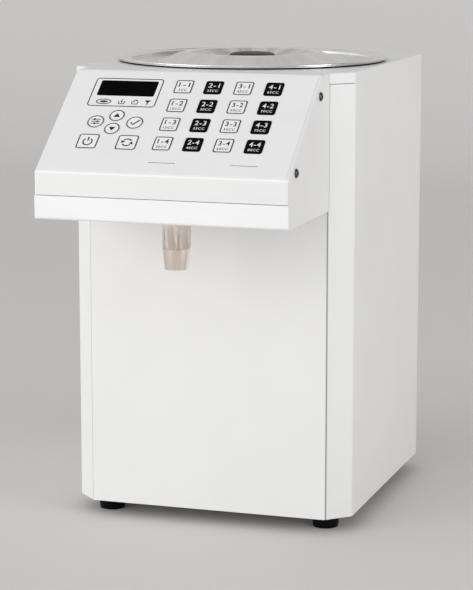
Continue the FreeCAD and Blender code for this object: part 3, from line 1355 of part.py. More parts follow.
def power_supply():
    body = new_body("power_supply")
    left = "half_width - sheet_gauge - return_flange - supply_width"
    back = "rear_y - 2 * return_flange"
    case = new_sketch(body, "XY", "floor_top")
    soft_rectangle(case, left, f"{back} - supply_length", f"{left} + supply_width", back, "sheet_gauge")
    pad(body, case, "supply_tall")
    bay = new_sketch(body, "XY", "floor_top + supply_tall")
    rectangle(bay, f"{left} + 2 * sheet_gauge", f"{back} - supply_length + 2 * sheet_gauge",
              f"{left} + supply_width - 2 * sheet_gauge", f"{back} - supply_length + return_flange")
    pocket(body, bay, "return_flange")
    slots = new_sketch(body, "YZ", left)
    for i in range(4):
        middle = f"{back} - supply_length / 2 + {i} * vent_pitch"
        rectangle(slots, f"{middle} - vent_width / 2", "floor_top + supply_tall / 3", f"{middle} + vent_width / 2",
                  "floor_top + supply_tall * 0.75")
    pocket(body, slots, "vent_width", both=True)
    PARTS.append(body)


def power_inlet():
    body = new_body("power_inlet")
    outer = "-(panel_rear + inlet_flange)"
    flange = new_sketch(body, "XZ", "-panel_rear")
    half = "(inlet_width / 2 + inlet_ear)"
    soft_rectangle(flange, f"mains_across - {half}", "inlet_height - inlet_tall / 2 - inlet_rim",
                   f"mains_across + {half}", "inlet_height + inlet_tall / 2 + inlet_rim", "inlet_ear / 2")
    for side in ("+", "-"):
        circle(flange, "screw_radius + screw_fit", f"mains_across {side} inlet_screw_x", "inlet_height")
    pad(body, flange, "inlet_flange", back=True)
    housing = new_sketch(body, "XZ", "-(panel_rear + inlet_flange / 2)")
    soft_rectangle(housing, "mains_across - inlet_width / 2", "inlet_height - inlet_tall / 2",
                   "mains_across + inlet_width / 2", "inlet_height + inlet_tall / 2", "panel_gap * 2")
    pad(body, housing, "inlet_depth + inlet_flange / 2")
    mouth = new_sketch(body, "XZ", outer)
    left, right = "mains_across - mouth_half_width", "mains_across + mouth_half_width"
    low, high = "inlet_height - mouth_half_height", "inlet_height + mouth_half_height"
    outline(mouth, [(left, low), (right, low), (right, f"{high} - mouth_corner"),
                    (f"{right} - mouth_corner", high), (f"{left} + mouth_corner", high),
                    (left, f"{high} - mouth_corner")])
    pocket(body, mouth, "inlet_depth - inlet_flange", back=True)
    pins = new_sketch(body, "XZ", "-(panel_rear + 1.5 * inlet_flange - inlet_depth)")
    for x, z in (("-pin_pitch", "-pin_width"), ("pin_pitch", "-pin_width"), ("0", "pin_width")):
        rectangle(pins, f"mains_across + {x} - pin_width / 2", f"inlet_height + {z} - pin_height / 2",
                  f"mains_across + {x} + pin_width / 2", f"inlet_height + {z} + pin_height / 2")
    pad(body, pins, "inlet_depth * 0.62", back=True)
    PARTS.append(body)


def switch_frame():
    body = new_body("switch_frame")
    flange = new_sketch(body, "XZ", "-panel_rear")
    grow = "switch_bezel"
    soft_rectangle(flange, f"mains_across - switch_width / 2 - {grow}", f"switch_height - switch_tall / 2 - {grow}",
                   f"mains_across + switch_width / 2 + {grow}", f"switch_height + switch_tall / 2 + {grow}", grow)
    pad(body, flange, "switch_bezel", back=True)
    case = new_sketch(body, "XZ", "-(panel_rear + switch_bezel / 2)")
    soft_rectangle(case, "mains_across - switch_width / 2", "switch_height - switch_tall / 2",
                   "mains_across + switch_width / 2", "switch_height + switch_tall / 2", "panel_gap * 2")
    pad(body, case, "switch_depth + switch_bezel / 2")
    well = new_sketch(body, "XZ", "-(panel_rear + switch_bezel)")
    rectangle(well, "mains_across - switch_width / 2 + rocker_wall", "switch_height - switch_tall / 2 + rocker_wall",
              "mains_across + switch_width / 2 - rocker_wall", "switch_height + switch_tall / 2 - rocker_wall")
    pocket(body, well, "switch_depth + switch_bezel - rocker_wall", back=True)
    pin_holes = new_sketch(body, "YZ", "mains_across")
    circle(pin_holes, "rocker_pin + shaft_fit", "pivot_y", "switch_height")
    pocket(body, pin_holes, "switch_width", both=True)
    PARTS.append(body)


def switch_rocker():
    body = new_body("switch_rocker")
    side = new_sketch(body, "YZ")
    crest = "rocker_valley + rocker_half * tan(rocker_swing / 2)"
    outline(side, [("rocker_valley", "0"), (crest, "rocker_half"), ("-rocker_heel", "rocker_half"),
                   ("-rocker_keel", "0"), ("-rocker_heel", "-rocker_half"), (crest, "-rocker_half")])
    pad(body, side, "switch_width - 2 * rocker_wall - 2 * key_gap", both=True)
    pins = new_sketch(body, "YZ")
    circle(pins, "rocker_pin")
    pad(body, pins, "switch_width - rocker_wall", both=True)
    place(body, "mains_across", "pivot_y", "switch_height", axis=(1, 0, 0), angle="-rocker_swing / 2")
    PARTS.append(body)


def main():
    for build in (casing_shell, front_panel, rear_panel, base_plate, rubber_feet, control_hood,
                  hood_bottom_cover, hood_screws, keypad_overlay, display_window, keys, board_carrier,
                  control_board, display_module, tank, tank_gasket, heater_band, lid, lid_knob, tank_outlet,
                  suction_hose, delivery_hose, pump_body, pump_cover, gears, drive_train, pump_bracket,
                  nozzle_body, nozzle_tip, valve_poppet, valve_spring, power_supply, power_inlet,
                  switch_frame, switch_rocker, machine_screws):
        build()
    doc.recompute()
    failed = [thing.Label for thing in doc.Objects if {"Invalid", "Error"} & set(thing.State)]
    for part in PARTS:
        if part.Shape.isNull() or not part.Shape.isValid() or not part.Shape.Solids:
            failed.append(part.Label)
    if failed:
        raise RuntimeError("these didn't build: " + ", ".join(failed))
    os.makedirs("parts", exist_ok=True)
    for part in PARTS:
        part.Shape.exportStep(os.path.join("parts", part.Label + ".step"))
        box = part.Shape.BoundBox
        print(f"{part.Label}: {len(part.Shape.Solids)} solid(s), {box.XLength:.1f} x {box.YLength:.1f}"
              f" x {box.ZLength:.1f} mm, {part.Shape.Volume / 1000:.1f} cm3")


main()
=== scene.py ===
import json
import math

import bmesh
import bpy
from mathutils import Matrix, Vector


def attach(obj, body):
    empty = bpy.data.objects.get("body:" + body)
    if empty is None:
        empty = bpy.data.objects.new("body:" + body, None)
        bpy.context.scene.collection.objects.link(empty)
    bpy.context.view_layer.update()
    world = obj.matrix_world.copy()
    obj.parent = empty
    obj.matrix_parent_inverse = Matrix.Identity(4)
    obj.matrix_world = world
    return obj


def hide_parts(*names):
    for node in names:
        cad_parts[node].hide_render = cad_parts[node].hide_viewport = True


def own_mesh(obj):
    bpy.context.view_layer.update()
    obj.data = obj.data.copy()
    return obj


# Looks of the counter-top syrup dispenser: powder-coated sheet, spun steel lid, printed keypad,
# warm steel nozzle. Metres, +Z up, front towards -Y.

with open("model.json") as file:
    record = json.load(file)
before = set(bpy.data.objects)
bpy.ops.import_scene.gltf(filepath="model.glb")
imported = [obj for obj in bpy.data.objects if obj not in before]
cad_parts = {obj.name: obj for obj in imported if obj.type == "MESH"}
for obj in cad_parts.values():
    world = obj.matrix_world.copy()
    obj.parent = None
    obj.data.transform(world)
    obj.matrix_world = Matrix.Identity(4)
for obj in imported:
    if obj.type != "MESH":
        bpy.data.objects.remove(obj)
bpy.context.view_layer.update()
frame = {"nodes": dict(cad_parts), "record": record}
NODES = frame["nodes"]

# Places that several pieces share. The slope's own frame starts at the fold over the lip: X runs
# across the machine, Y up the slope and Z out of it. The nozzle is straight down to its cone's top,
# and its valve's spring stands on a ledge inside.
SLOPE_RISE = math.radians(38.3255)
LIP = Vector((0.0, -0.2071215, 0.349))
SLOPE = Matrix.Translation(LIP) @ Matrix.Rotation(SLOPE_RISE, 4, "X")
FRONT = -0.0771215
REAR = 0.2020785
TANK_Y = 0.0618785
FLANGE_TOP = 0.4345
NOZZLE_Y = -0.1626215
CONE_TOP = 0.2786
VALVE_LEDGE = 0.268
FEET = [(x, y) for x in (-0.1085, 0.1085) for y in (-0.0476215, 0.1713785)]
LEFTWARDS, REARWARDS, FRONTWARDS = (-1, 0, 0), (0, 1, 0), (0, -1, 0)
UPWARDS, DOWNWARDS = (0, 0, 1), (0, 0, -1)


# ---------------------------------------------------------------- node trees

class Sock:
    """A node's output in a tree; operators add Math nodes."""

    def __init__(self, web, link):
        self.web, self.link = web, link

    def calc(self, kind, *others):
        maths = self.web.node("ShaderNodeMath", {"operation": kind}, [self, *others])
        return Sock(self.web, maths.outputs[0])

    def __add__(self, other):
        return self.calc("ADD", other)

    def __sub__(self, other):
        return self.calc("SUBTRACT", other)

    def __rsub__(self, other):
        return -self + other

    def __neg__(self):
        return self.calc("MULTIPLY", -1.0)

    def __mul__(self, other):
        return self.calc("MULTIPLY", other)

    def __truediv__(self, other):
        return self.calc("DIVIDE", other)

    __radd__, __rmul__ = __add__, __mul__

    def between(self, low, high):
        """0 at low, 1 at high, held outside."""
        ramp = self.web.node("ShaderNodeMapRange", {"clamp": True}, {
            "Value": self, "From Min": low, "From Max": high})
        return Sock(self.web, ramp.outputs[0])


class Web:
    """A node tree under construction."""

    def fill(self, socket, value):
        """Links an output to a socket, or sets a plain value on it."""
        if isinstance(value, Sock):
            value = value.link
        if isinstance(value, bpy.types.NodeSocket):
            self.tree.links.new(value, socket)
        else:
            socket.default_value = value

    def node(self, kind, settings=None, values=None):
        """One node: its settings, then the values or links of its sockets."""
        node = self.tree.nodes.new(kind)
        for name, value in (settings or {}).items():
            setattr(node, name, value)
        pairs = values.items() if isinstance(values, dict) else enumerate(values or [])
        for key, value in pairs:
            self.fill(node.inputs[key], value)
        return node

    def vector(self, x, y, z):
        return self.node("ShaderNodeCombineXYZ", {}, [x, y, z]).outputs[0]


class Paint(Web):
    """One node-based material, ending in a Principled shader."""

    def __init__(self, name, **fixed):
        self.material = bpy.data.materials.new(name)
        self.material.use_nodes = True
        self.tree = self.material.node_tree
        self.tree.nodes.clear()
        self.shader = self.node("ShaderNodeBsdfPrincipled")
        self.node("ShaderNodeOutputMaterial", {}, [self.shader.outputs[0]])
        self.where = self.node("ShaderNodeTexCoord").outputs["Object"]
        self.feed(**fixed)

    def feed(self, **values):
        """Fills the shader's sockets, which are named with _ for each space."""
        for name, value in values.items():
            self.fill(self.shader.inputs[name.replace("_", " ")], value)

    def place(self, scale=(1.0, 1.0, 1.0), centre=(0.0, 0.0, 0.0)):
        """Object coordinates about a centre, stretched."""
        moved = self.node("ShaderNodeVectorMath", {"operation": "SUBTRACT"}, [self.where, centre])
        return self.node("ShaderNodeMapping", {"vector_type": "TEXTURE"},
                         {"Vector": moved.outputs[0], "Scale": scale}).outputs[0]

    def noise(self, scale, detail=3.0, rough=0.5, where=None):
        speckle = self.node("ShaderNodeTexNoise", {}, {
            "Vector": where or self.where, "Scale": scale, "Detail": detail, "Roughness": rough})
        return Sock(self, speckle.outputs[0])

    def cells(self, scale, feature="F1"):
        grains = self.node("ShaderNodeTexVoronoi", {"feature": feature}, {
            "Vector": self.where, "Scale": scale})
        return Sock(self, grains.outputs[0])

    def parts(self, where=None):
        node = self.node("ShaderNodeSeparateXYZ", {}, [where or self.where])
        return [Sock(self, output) for output in node.outputs]

    def mix(self, amount, first, second):
        """A colour between two others; the first can be another mix."""
        first_colour, second_colour, result = 6, 7, 2
        if isinstance(first, tuple):
            first = (*first[:3], 1.0)
        values = {"Factor": amount, first_colour: first, second_colour: (*second[:3], 1.0)}
        return self.node("ShaderNodeMix", {"data_type": "RGBA"}, values).outputs[result]

    def bump(self, height, depth, strength):
        """A normal from a height between 0 and 1 and a depth in metres."""
        values = {"Height": height, "Distance": depth, "Strength": strength}
        return self.node("ShaderNodeBump", {}, values).outputs[0]


class Tree(Web):
    """A geometry tree: sizes are named inputs, and Realize Instances and Set Material end it."""

    def __init__(self, name, **sizes):
        self.tree = bpy.data.node_groups.new(name, "GeometryNodeTree")
        self.sizes = {label.replace("_", " "): value for label, value in sizes.items()}
        face = self.tree.interface
        face.new_socket("Places", in_out="INPUT", socket_type="NodeSocketGeometry")
        face.new_socket("Piece", in_out="OUTPUT", socket_type="NodeSocketGeometry")
        for label, value in self.sizes.items():
            kind = "NodeSocketInt" if isinstance(value, int) else "NodeSocketFloat"
            face.new_socket(label, in_out="INPUT", socket_type=kind)
        face.new_socket("Finish", in_out="INPUT", socket_type="NodeSocketMaterial")
        self.given = self.node("NodeGroupInput")

    def size(self, label):
        return Sock(self, self.given.outputs[label])

    def turned(self, profile, edge, steps, closed=False):
        """A form turned about +Z from (radius, height) points, its corners rounded; an open profile
        ends on the axis. The sweep's circle has radius 1, which is taken off each radius."""
        corners = self.node("GeometryNodeIndexSwitch", {"data_type": "VECTOR"})
        while len(corners.index_switch_items) < len(profile):
            corners.index_switch_items.new()
        self.tree.links.new(self.node("GeometryNodeInputIndex").outputs[0], corners.inputs[0])
        for place, (radius, height) in enumerate(profile, 1):
            self.tree.links.new(self.vector(radius - 1.0, -height, 0.0), corners.inputs[place])
        row = self.node("GeometryNodeMeshLine", {}, {"Count": len(profile)}).outputs[0]
        row = self.node("GeometryNodeSetPosition", {}, {
            "Geometry": row, "Position": corners.outputs[0]}).outputs[0]
        line = self.node("GeometryNodeMeshToCurve", {}, [row]).outputs[0]
        line = self.node("GeometryNodeSetSplineCyclic", {}, {0: line, "Cyclic": closed}).outputs[0]
        line = self.node("GeometryNodeFilletCurve", {"mode": "POLY"}, {
            "Curve": line, "Count": 4, "Radius": edge, "Limit Radius": True}).outputs[0]
        path = self.node("GeometryNodeCurvePrimitiveCircle", {}, {
            "Resolution": steps, "Radius": 1.0}).outputs[0]
        path = self.node("GeometryNodeSetCurveNormal", {"mode": "Z_UP"}, [path]).outputs[0]
        skin = self.node("GeometryNodeCurveToMesh", {}, {"Curve": path, "Profile Curve": line})
        return self.node("GeometryNodeMergeByDistance", {}, {
            "Geometry": skin.outputs[0], "Distance": 0.000002}).outputs[0]

    def lifted(self, body, low, high, turn=0.0):
        """A body about the origin, moved up to stand between two heights and turned about +Z."""
        return self.node("GeometryNodeTransform", {}, {
            "Geometry": body.outputs[0], "Translation": self.vector(0.0, 0.0, (high + low) * 0.5),
            "Rotation": (0.0, 0.0, turn)}).outputs[0]

    def prism(self, sides, radius, low, high, turn=0.0):
        values = {"Vertices": sides, "Radius": radius, "Depth": high - low}
        return self.lifted(self.node("GeometryNodeMeshCylinder", {}, values), low, high, turn)

    def bar(self, length, width, low, high):
        values = {"Size": self.vector(length, width, high - low)}
        return self.lifted(self.node("GeometryNodeMeshCube", {}, values), low, high)

    def cut(self, kind, first, second):
        """Two solids intersected, or the second taken out of the first."""
        tool = self.node("GeometryNodeMeshBoolean", {"operation": kind, "solver": "EXACT"})
        self.tree.links.new(first, tool.inputs[1 if kind == "INTERSECT" else 0])
        self.tree.links.new(second, tool.inputs[1])
        return tool.outputs[0]

    def joined(self, *pieces):
        tool = self.node("GeometryNodeJoinGeometry")
        for piece in pieces:
            self.tree.links.new(piece, tool.inputs[0])
        return tool.outputs[0]

    def grown(self, piece, finish, places):
        """Closes the tree on a piece and gives its mesh: a copy at each place, its +Z turned to the
        way the place faces."""
        facing = self.node("GeometryNodeInputNamedAttribute", {"data_type": "FLOAT_VECTOR"},
                           {"Name": "facing"})
        turn = self.node("FunctionNodeAlignRotationToVector", {"axis": "Z"},
                         {"Vector": facing.outputs[0]})
        copies = self.node("GeometryNodeInstanceOnPoints", {}, {
            "Points": self.given.outputs["Places"], "Instance": piece, "Rotation": turn.outputs[0]})
        loose = self.node("GeometryNodeRealizeInstances", {}, [copies.outputs[0]]).outputs[0]
        painted = self.node("GeometryNodeSetMaterial", {}, {
            "Geometry": loose, "Material": self.given.outputs["Finish"]}).outputs[0]
        self.tree.links.new(painted, self.node("NodeGroupOutput").inputs[0])
        mesh = bpy.data.meshes.new(self.tree.name)
        mesh.from_pydata([spot for spot, way in places], [], [])
        ways = mesh.attributes.new("facing", "FLOAT_VECTOR", "POINT")
        for entry, (spot, way) in zip(ways.data, places):
            entry.vector = way
        carrier = bpy.data.objects.new(self.tree.name, mesh)
        bpy.context.scene.collection.objects.link(carrier)
        modifier = carrier.modifiers.new(self.tree.name, "NODES")
        modifier.node_group = self.tree
        for socket in self.tree.interface.items_tree:
            if socket.in_out == "INPUT" and socket.name in self.sizes:
                modifier[socket.identifier] = self.sizes[socket.name]
            elif socket.name == "Finish":
                modifier[socket.identifier] = finish
        result = plain_mesh(carrier)
        bm = bmesh.new()
        bm.from_mesh(result)
        bpy.data.meshes.remove(result)
        return bm


def plain_mesh(carrier):
    """The evaluated mesh of a helper object, which is then removed."""
    bpy.context.view_layer.update()
    evaluated = carrier.evaluated_get(bpy.context.evaluated_depsgraph_get())
    mesh = bpy.data.meshes.new_from_object(evaluated)
    bpy.data.objects.remove(carrier)
    return mesh


# ---------------------------------------------------------------- finishes

def grey(level, warm=0.0):
    """A grey; warm raises its red and lowers its blue."""
    return (level * (1 + warm), level, level * (1 - warm), 1.0)


def toned(colour, factor, lift=0.0):
    """A colour darkened or lightened by a factor, then lifted."""
    return tuple(part * factor + lift for part in colour[:3])


def powder_coat(name, colour):
    """Satin powder coat: orange peel, faint cloudiness, scuffs low down where it is wiped and
    knocked, painted shadow lines in the seams beside the front panel and the hood, and a painted
    highlight along the bend at the foot of the slope."""
    paint = Paint(name, Specular_IOR_Level=0.45)
    x, y, z = paint.parts()
    panel_edge, panel_face, hood_wider, hood_behind = 0.1168, FRONT - 0.0004, 0.0014, 0.0004
    seam_shade_core, seam_shade_reach, fold_highlight_core, fold_highlight_reach = 0.0006, 0.0012, 0.0006, 0.0016
    by_hood, below_roof = z.between(0.3055, 0.3065), z.between(0.424, 0.422)
    beside = x.calc("ABSOLUTE") - panel_edge - by_hood * hood_wider
    before = y - panel_face - by_hood * hood_behind
    # Painted shadow: the paint darkens in the narrow gaps beside the front panel and the hood.
    seam_shade = (beside * beside + before * before).calc("SQRT").between(seam_shade_reach, seam_shade_core)
    across, up = y - LIP.y, z - LIP.z
    # Painted highlight: the paint turns lighter along the fold at the foot of the slope.
    bend = (across * across + up * up).calc("SQRT").between(fold_highlight_reach, fold_highlight_core)
    peel = paint.noise(720.0, 2.0)
    cloud = paint.noise(9.0, 4.0)
    scuffs = paint.noise(160.0, 6.0, 0.7, paint.place((1.0, 1.0, 0.2))).between(0.66, 0.76)
    low = 1 - z.between(0.012, 0.07)
    # The scuffs low down are wear; the seam term is painted shade.
    scuffs_and_seam_shade = (low * scuffs) * 0.6 + seam_shade * below_roof * 0.9
    coat = paint.mix(cloud.between(0.35, 0.7), colour, toned(colour, 0.965))
    coat_with_fold_highlight = paint.mix(bend * 0.8, coat, grey(0.96))
    worn_with_painted_light = paint.mix(scuffs_and_seam_shade.calc("MINIMUM", 1.0), coat_with_fold_highlight, grey(0.26, 0.02))
    paint.feed(Base_Color=worn_with_painted_light, Roughness=0.33 + cloud * 0.08 + scuffs_and_seam_shade * 0.2,
               Normal=paint.bump(peel + scuffs * low * 0.5, 0.00003, 0.35))
    return paint.material


def film(name, colour, rough=0.4, gloss=0.4):
    """Fine-textured membrane film, rubbed smoother where it is touched."""
    paint = Paint(name, Specular_IOR_Level=gloss)
    grain = paint.cells(1500.0)
    touched = paint.noise(25.0, 3.0).between(0.52, 0.7)
    paint.feed(Base_Color=paint.mix(touched * 0.6, colour, toned(colour, 0.97)),
               Roughness=rough + grain * 0.1 - touched * 0.05,
               Normal=paint.bump(grain, 0.000012, 0.4))
    return paint.material


def print_ink(name, colour):
    """Screen-printed ink with slightly uneven cover."""
    paint = Paint(name, Specular_IOR_Level=0.12)
    cover = paint.noise(900.0, 4.0)
    paint.feed(Base_Color=paint.mix(cover.between(0.4, 0.7), colour, toned(colour, 1.0, 0.03)),
               Roughness=0.42 + cover * 0.12, Normal=paint.bump(cover, 0.000004, 0.3))
    return paint.material


def turned_nozzle_steel(name, colour):
    """Warm steel turned about the nozzle's axis: rings of fine scratches, and a cone painted
    lighter as a painted reflection of the brighter light it catches.
    """
    paint = Paint(name, Metallic=1.0)
    x, y, z = paint.parts(paint.place(centre=(0.0, NOZZLE_Y, 0.0)))
    radius = (x * x + y * y).calc("SQRT")
    # Painted reflection: below the cone's top the colour is made lighter.
    lighter_painted_cone = z.between(CONE_TOP + 0.0005, CONE_TOP - 0.0005)
    lines = paint.noise(2600.0, 5.0, 0.65, paint.vector(radius, 0.0, z))
    wear = paint.noise(60.0, 4.0, 0.6)
    straight = paint.mix(lines.between(0.45, 0.62), colour, toned(colour, 0.86))
    paint.feed(Base_Color=paint.mix(lighter_painted_cone, straight, toned(colour, 1.34)),
               Roughness=0.06 + lines * 0.16 + wear.between(0.55, 0.75) * 0.1,
               Normal=paint.bump(lines, 0.000006, 0.5))
    return paint.material


def spun_lid_steel(name, colour):
    """Spun lid: turning lines, painted reflections as bright and dark fans about the middle, and
    painted shade that darkens the dish, the ring recess and the cone.
    """
    paint = Paint(name, Metallic=1.0)
    x, y, z = paint.parts(paint.place(centre=(0.0, TANK_Y, FLANGE_TOP)))
    radius = (x * x + y * y + 1e-8).calc("SQRT")
    lines = paint.noise(2600.0, 5.0, 0.65, paint.vector(radius, 0.0, z))
    # Painted reflections: bright and dark fans about the middle of the lid.
    painted_reflection_fans = paint.noise(3.2, 3.0, 0.6, paint.vector(x / radius, y / radius, 0.0)).between(0.42, 0.6)
    wear = paint.noise(60.0, 4.0, 0.6)
    # Painted shade: the dish, the ring recess and the cone are darkened so the level ring reads
    # bright.
    dish = radius.between(0.061, 0.059)
    dull_recess_shade = radius.between(0.0915, 0.0935) * radius.between(0.1195, 0.1175)
    cone = radius.between(0.0672, 0.0685) * radius.between(0.093, 0.091)
    painted_reflection_and_shade = painted_reflection_fans * (0.14 + dish * 0.4) + dish * 0.2 + dull_recess_shade * 0.2 + cone * 0.08
    spun = paint.mix(lines.between(0.45, 0.62), colour, toned(colour, 0.88))
    paint.feed(Base_Color=paint.mix(painted_reflection_and_shade.calc("MINIMUM", 0.9), spun, toned(colour, 0.3)),
               Roughness=0.13 + lines * 0.14 + dull_recess_shade * 0.1 + wear.between(0.55, 0.75) * 0.08,
               Normal=paint.bump(lines, 0.000006, 0.5))
    return paint.material


def drawn_steel(name, colour, stretch, rough, fine=1500.0):
    """Sheet or bar with straight grain: stretch gives the grain's length along each axis."""
    paint = Paint(name, Metallic=1.0)
    grain = paint.noise(fine, 4.0, 0.6, paint.place(stretch))
    stain = paint.noise(18.0, 5.0, 0.6)
    streaks = grain.between(0.42, 0.66) * 0.7 + stain * 0.2
    paint.feed(Base_Color=paint.mix(streaks, colour, toned(colour, 0.8)),
               Roughness=rough + grain * 0.15 + stain.between(0.5, 0.8) * 0.12,
               Normal=paint.bump(grain, 0.00001, 0.4))
    return paint.material


def zinc_plate(name):
    """Zinc-plated sheet with its faint spangle."""
    paint = Paint(name, Metallic=0.9)
    spangle = paint.cells(220.0)
    tone = paint.noise(30.0, 3.0)
    paint.feed(Base_Color=paint.mix(spangle.between(0.2, 0.9), grey(0.56, -0.01), grey(0.68)),
               Roughness=0.34 + spangle * 0.14 + tone * 0.06,
               Normal=paint.bump(spangle, 0.00001, 0.25))
    return paint.material


def moulded(name, colour, rough=0.4, grain=900.0, depth=0.00003, gloss=0.4, metal=0.0):
    """Moulded plastic, rubber or blackened metal with a fine grain and rubbed high spots."""
    paint = Paint(name, Metallic=metal, Specular_IOR_Level=gloss)
    pits = paint.noise(grain, 3.0, 0.6)
    rubbed = paint.noise(45.0, 4.0).between(0.5, 0.72)
    paint.feed(Base_Color=paint.mix(rubbed, colour, toned(colour, 1.3, 0.001)),
               Roughness=rough + pits * 0.2 - rubbed * 0.08, Normal=paint.bump(pits, depth, 0.5))
    return paint.material


def hose_silicone(name):
    """Milky hose, cloudier where it has aged."""
    paint = Paint(name)
    cloud = paint.noise(40.0, 3.0)
    paint.feed(Base_Color=paint.mix(cloud, (0.72, 0.72, 0.66), (0.82, 0.81, 0.76)),
               Roughness=0.36 + cloud * 0.14,
               Normal=paint.bump(paint.noise(700.0), 0.00002, 0.3))
    return paint.material


def circuit_board(name):
    """Solder mask over copper tracks."""
    paint = Paint(name)
    tracks = paint.cells(170.0, feature="DISTANCE_TO_EDGE").between(0.02, 0.05)
    paint.feed(Base_Color=paint.mix(tracks, (0.03, 0.24, 0.12), (0.012, 0.12, 0.055)),
               Roughness=0.35 + tracks * 0.12, Normal=paint.bump(1 - tracks, 0.00004, 0.4))
    return paint.material


EVEN_GRAIN, UPRIGHT_GRAIN = (1.0, 1.0, 1.0), (1.0, 1.0, 0.04)
MATERIALS = {
    "white_paint": powder_coat("white_powder_coat", (0.86, 0.86, 0.858)),
    "zinc_steel": zinc_plate("zinc_plate"),
    "black_rubber": moulded("black_rubber", (0.018, 0.018, 0.019), 0.55, 420.0, 0.00008),
    "seal_rubber": moulded("seal_rubber", (0.008, 0.008, 0.008), 0.5, gloss=0.15),
    "heater_silicone": moulded("heater_silicone", (0.38, 0.10, 0.045), 0.55, 300.0, 0.0001),
    "screw_steel": drawn_steel("screw_steel", (0.42, 0.42, 0.41), EVEN_GRAIN, 0.26, 2400.0),
    "membrane": film("membrane_white", (0.85, 0.85, 0.855)),
    "key_white": film("key_film_white", (0.88, 0.88, 0.88), 0.36),
    "key_black": film("key_film_black", (0.002, 0.002, 0.002), 0.36, 0.04),
    "dark_window": moulded("dark_window", (0.001, 0.001, 0.001), 0.1, 30.0, 0.000001, 0.02),
    "board_green": circuit_board("board_green"),
    "black_plastic": moulded("black_plastic", (0.022, 0.022, 0.024)),
    "red_plastic": moulded("red_plastic", (0.42, 0.015, 0.01), 0.22),
    "stainless": drawn_steel("stainless", (0.68, 0.68, 0.67), UPRIGHT_GRAIN, 0.24),
    "hose_silicone": hose_silicone("hose_silicone"),
    "gear_steel": drawn_steel("gear_steel", (0.55, 0.55, 0.56), (1.0, 0.06, 1.0), 0.28),
    "aluminium": drawn_steel("turned_aluminium", (0.78, 0.78, 0.79), (1.0, 0.05, 1.0), 0.3),
    "motor_metal": moulded("motor_enamel", (0.05, 0.052, 0.056), 0.32, 350.0, 0.00005),
}
DARK_NICKEL = moulded("dark_nickel", (0.10, 0.10, 0.105), 0.16, 600.0, 0.00001, metal=1.0)
FOOT_RUBBER = moulded("foot_rubber", (0.003, 0.0025, 0.0025), 0.3, 300.0, 0.00003, gloss=0.1)
LID_STEEL = spun_lid_steel("spun_lid_steel", (0.95, 0.945, 0.945))
NOZZLE_STEEL = turned_nozzle_steel("warm_nozzle_steel", (0.70, 0.61, 0.55))
DARK_INK = print_ink("dark_ink", (0.006, 0.006, 0.007))
LIGHT_INK = print_ink("light_ink", (0.80, 0.80, 0.80))
# Painted light: a lighter copy of the white powder coat, so the hood's lower lip reads brighter
# than the lip above.
LIGHTER_PAINTED_COVER = powder_coat("cover_powder_coat_painted_lighter", (0.93, 0.93, 0.935))

for entry in frame["record"]["subparts"]:
    node = NODES[entry["node"]]
    node.data.materials.clear()
    node.data.materials.append(MATERIALS[entry["material_slot"]])
NODES["nozzle_tip"].data.materials[0] = NOZZLE_STEEL
# The hood's bottom cover takes the lighter copy: painted light on its lower lip.
NODES["hood_bottom_cover"].data.materials[0] = LIGHTER_PAINTED_COVER


# ---------------------------------------------------------------- meshes

def keep(name, bm, material, body="casing", matrix=None, smooth=None):
    """A finished piece from a bmesh, its place in its mesh."""
    mesh = bpy.data.meshes.new(name)
    bmesh.ops.recalc_face_normals(bm, faces=bm.faces)
    bm.to_mesh(mesh)
    bm.free()
    if matrix:
        mesh.transform(matrix)
    mesh.materials.append(material)
    piece = bpy.data.objects.new(name, mesh)
    bpy.context.scene.collection.objects.link(piece)
    if smooth:
        mesh.shade_smooth()
        mesh.set_sharp_from_angle(angle=math.radians(smooth))
    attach(piece, body)
    return piece


def round_corners(half_x, half_y, corner, steps=6):
    """A rounded rectangle's outline about the origin."""
    outline = []
    for quarter, (sx, sy) in enumerate(((1, -1), (1, 1), (-1, 1), (-1, -1))):
        for step in range(steps + 1):
            angle = math.pi / 2 * (quarter - 1 + step / steps)
            outline.append((sx * (half_x - corner) + corner * math.cos(angle),
                            sy * (half_y - corner) + corner * math.sin(angle)))
    return outline


def oval_outline(half_x, half_y, steps=40):
    """An oval's outline about the origin."""
    turns = [2 * math.pi * i / steps for i in range(steps)]
    return [(half_x * math.cos(turn), half_y * math.sin(turn)) for turn in turns]


def ring_outline(radius, steps=40):
    return oval_outline(radius, radius, steps)


def arc(radius, start, end, steps=20):
    """Points about the origin from one angle to another, in degrees."""
    turns = [math.radians(start + (end - start) * i / steps) for i in range(steps + 1)]
    return [(radius * math.cos(turn), radius * math.sin(turn)) for turn in turns]


# ---------------------------------------------------------------- printing

INK = 0.00003


def ink_band(bm, outer, inner, centre=(0.0, 0.0)):
    """A thin closed printed band between two outlines of equal count."""
    loops = [[bm.verts.new((x + centre[0], y + centre[1], z)) for x, y in outline]
             for outline, z in ((outer, 0.0), (outer, INK), (inner, INK), (inner, 0.0))]
    count = len(outer)
    for first, second in zip(loops, loops[1:] + loops[:1]):
        for i in range(count):
            j = (i + 1) % count
            bm.faces.new((first[i], first[j], second[j], second[i]))


def ink_shape(bm, outline, centre=(0.0, 0.0)):
    """A thin printed filled shape."""
    low, high = ([bm.verts.new((x + centre[0], y + centre[1], z)) for x, y in outline]
                 for z in (0.0, INK))
    bm.faces.new(low[::-1])
    bm.faces.new(high)
    for i in range(len(low)):
        j = (i + 1) % len(low)
        bm.faces.new((low[i], low[j], high[j], high[i]))


def ink_stroke(bm, points, width, centre=(0.0, 0.0)):
    """A thin printed line along open points."""
    path = [Vector(point) for point in points]
    left, right = [], []
    for i, point in enumerate(path):
        heading = (path[min(i + 1, len(path) - 1)] - path[max(i - 1, 0)]).normalized()
        side = Vector((-heading.y, heading.x)) * width / 2
        left.append(point + side)
        right.append(point - side)
    ink_shape(bm, left + right[::-1], centre)


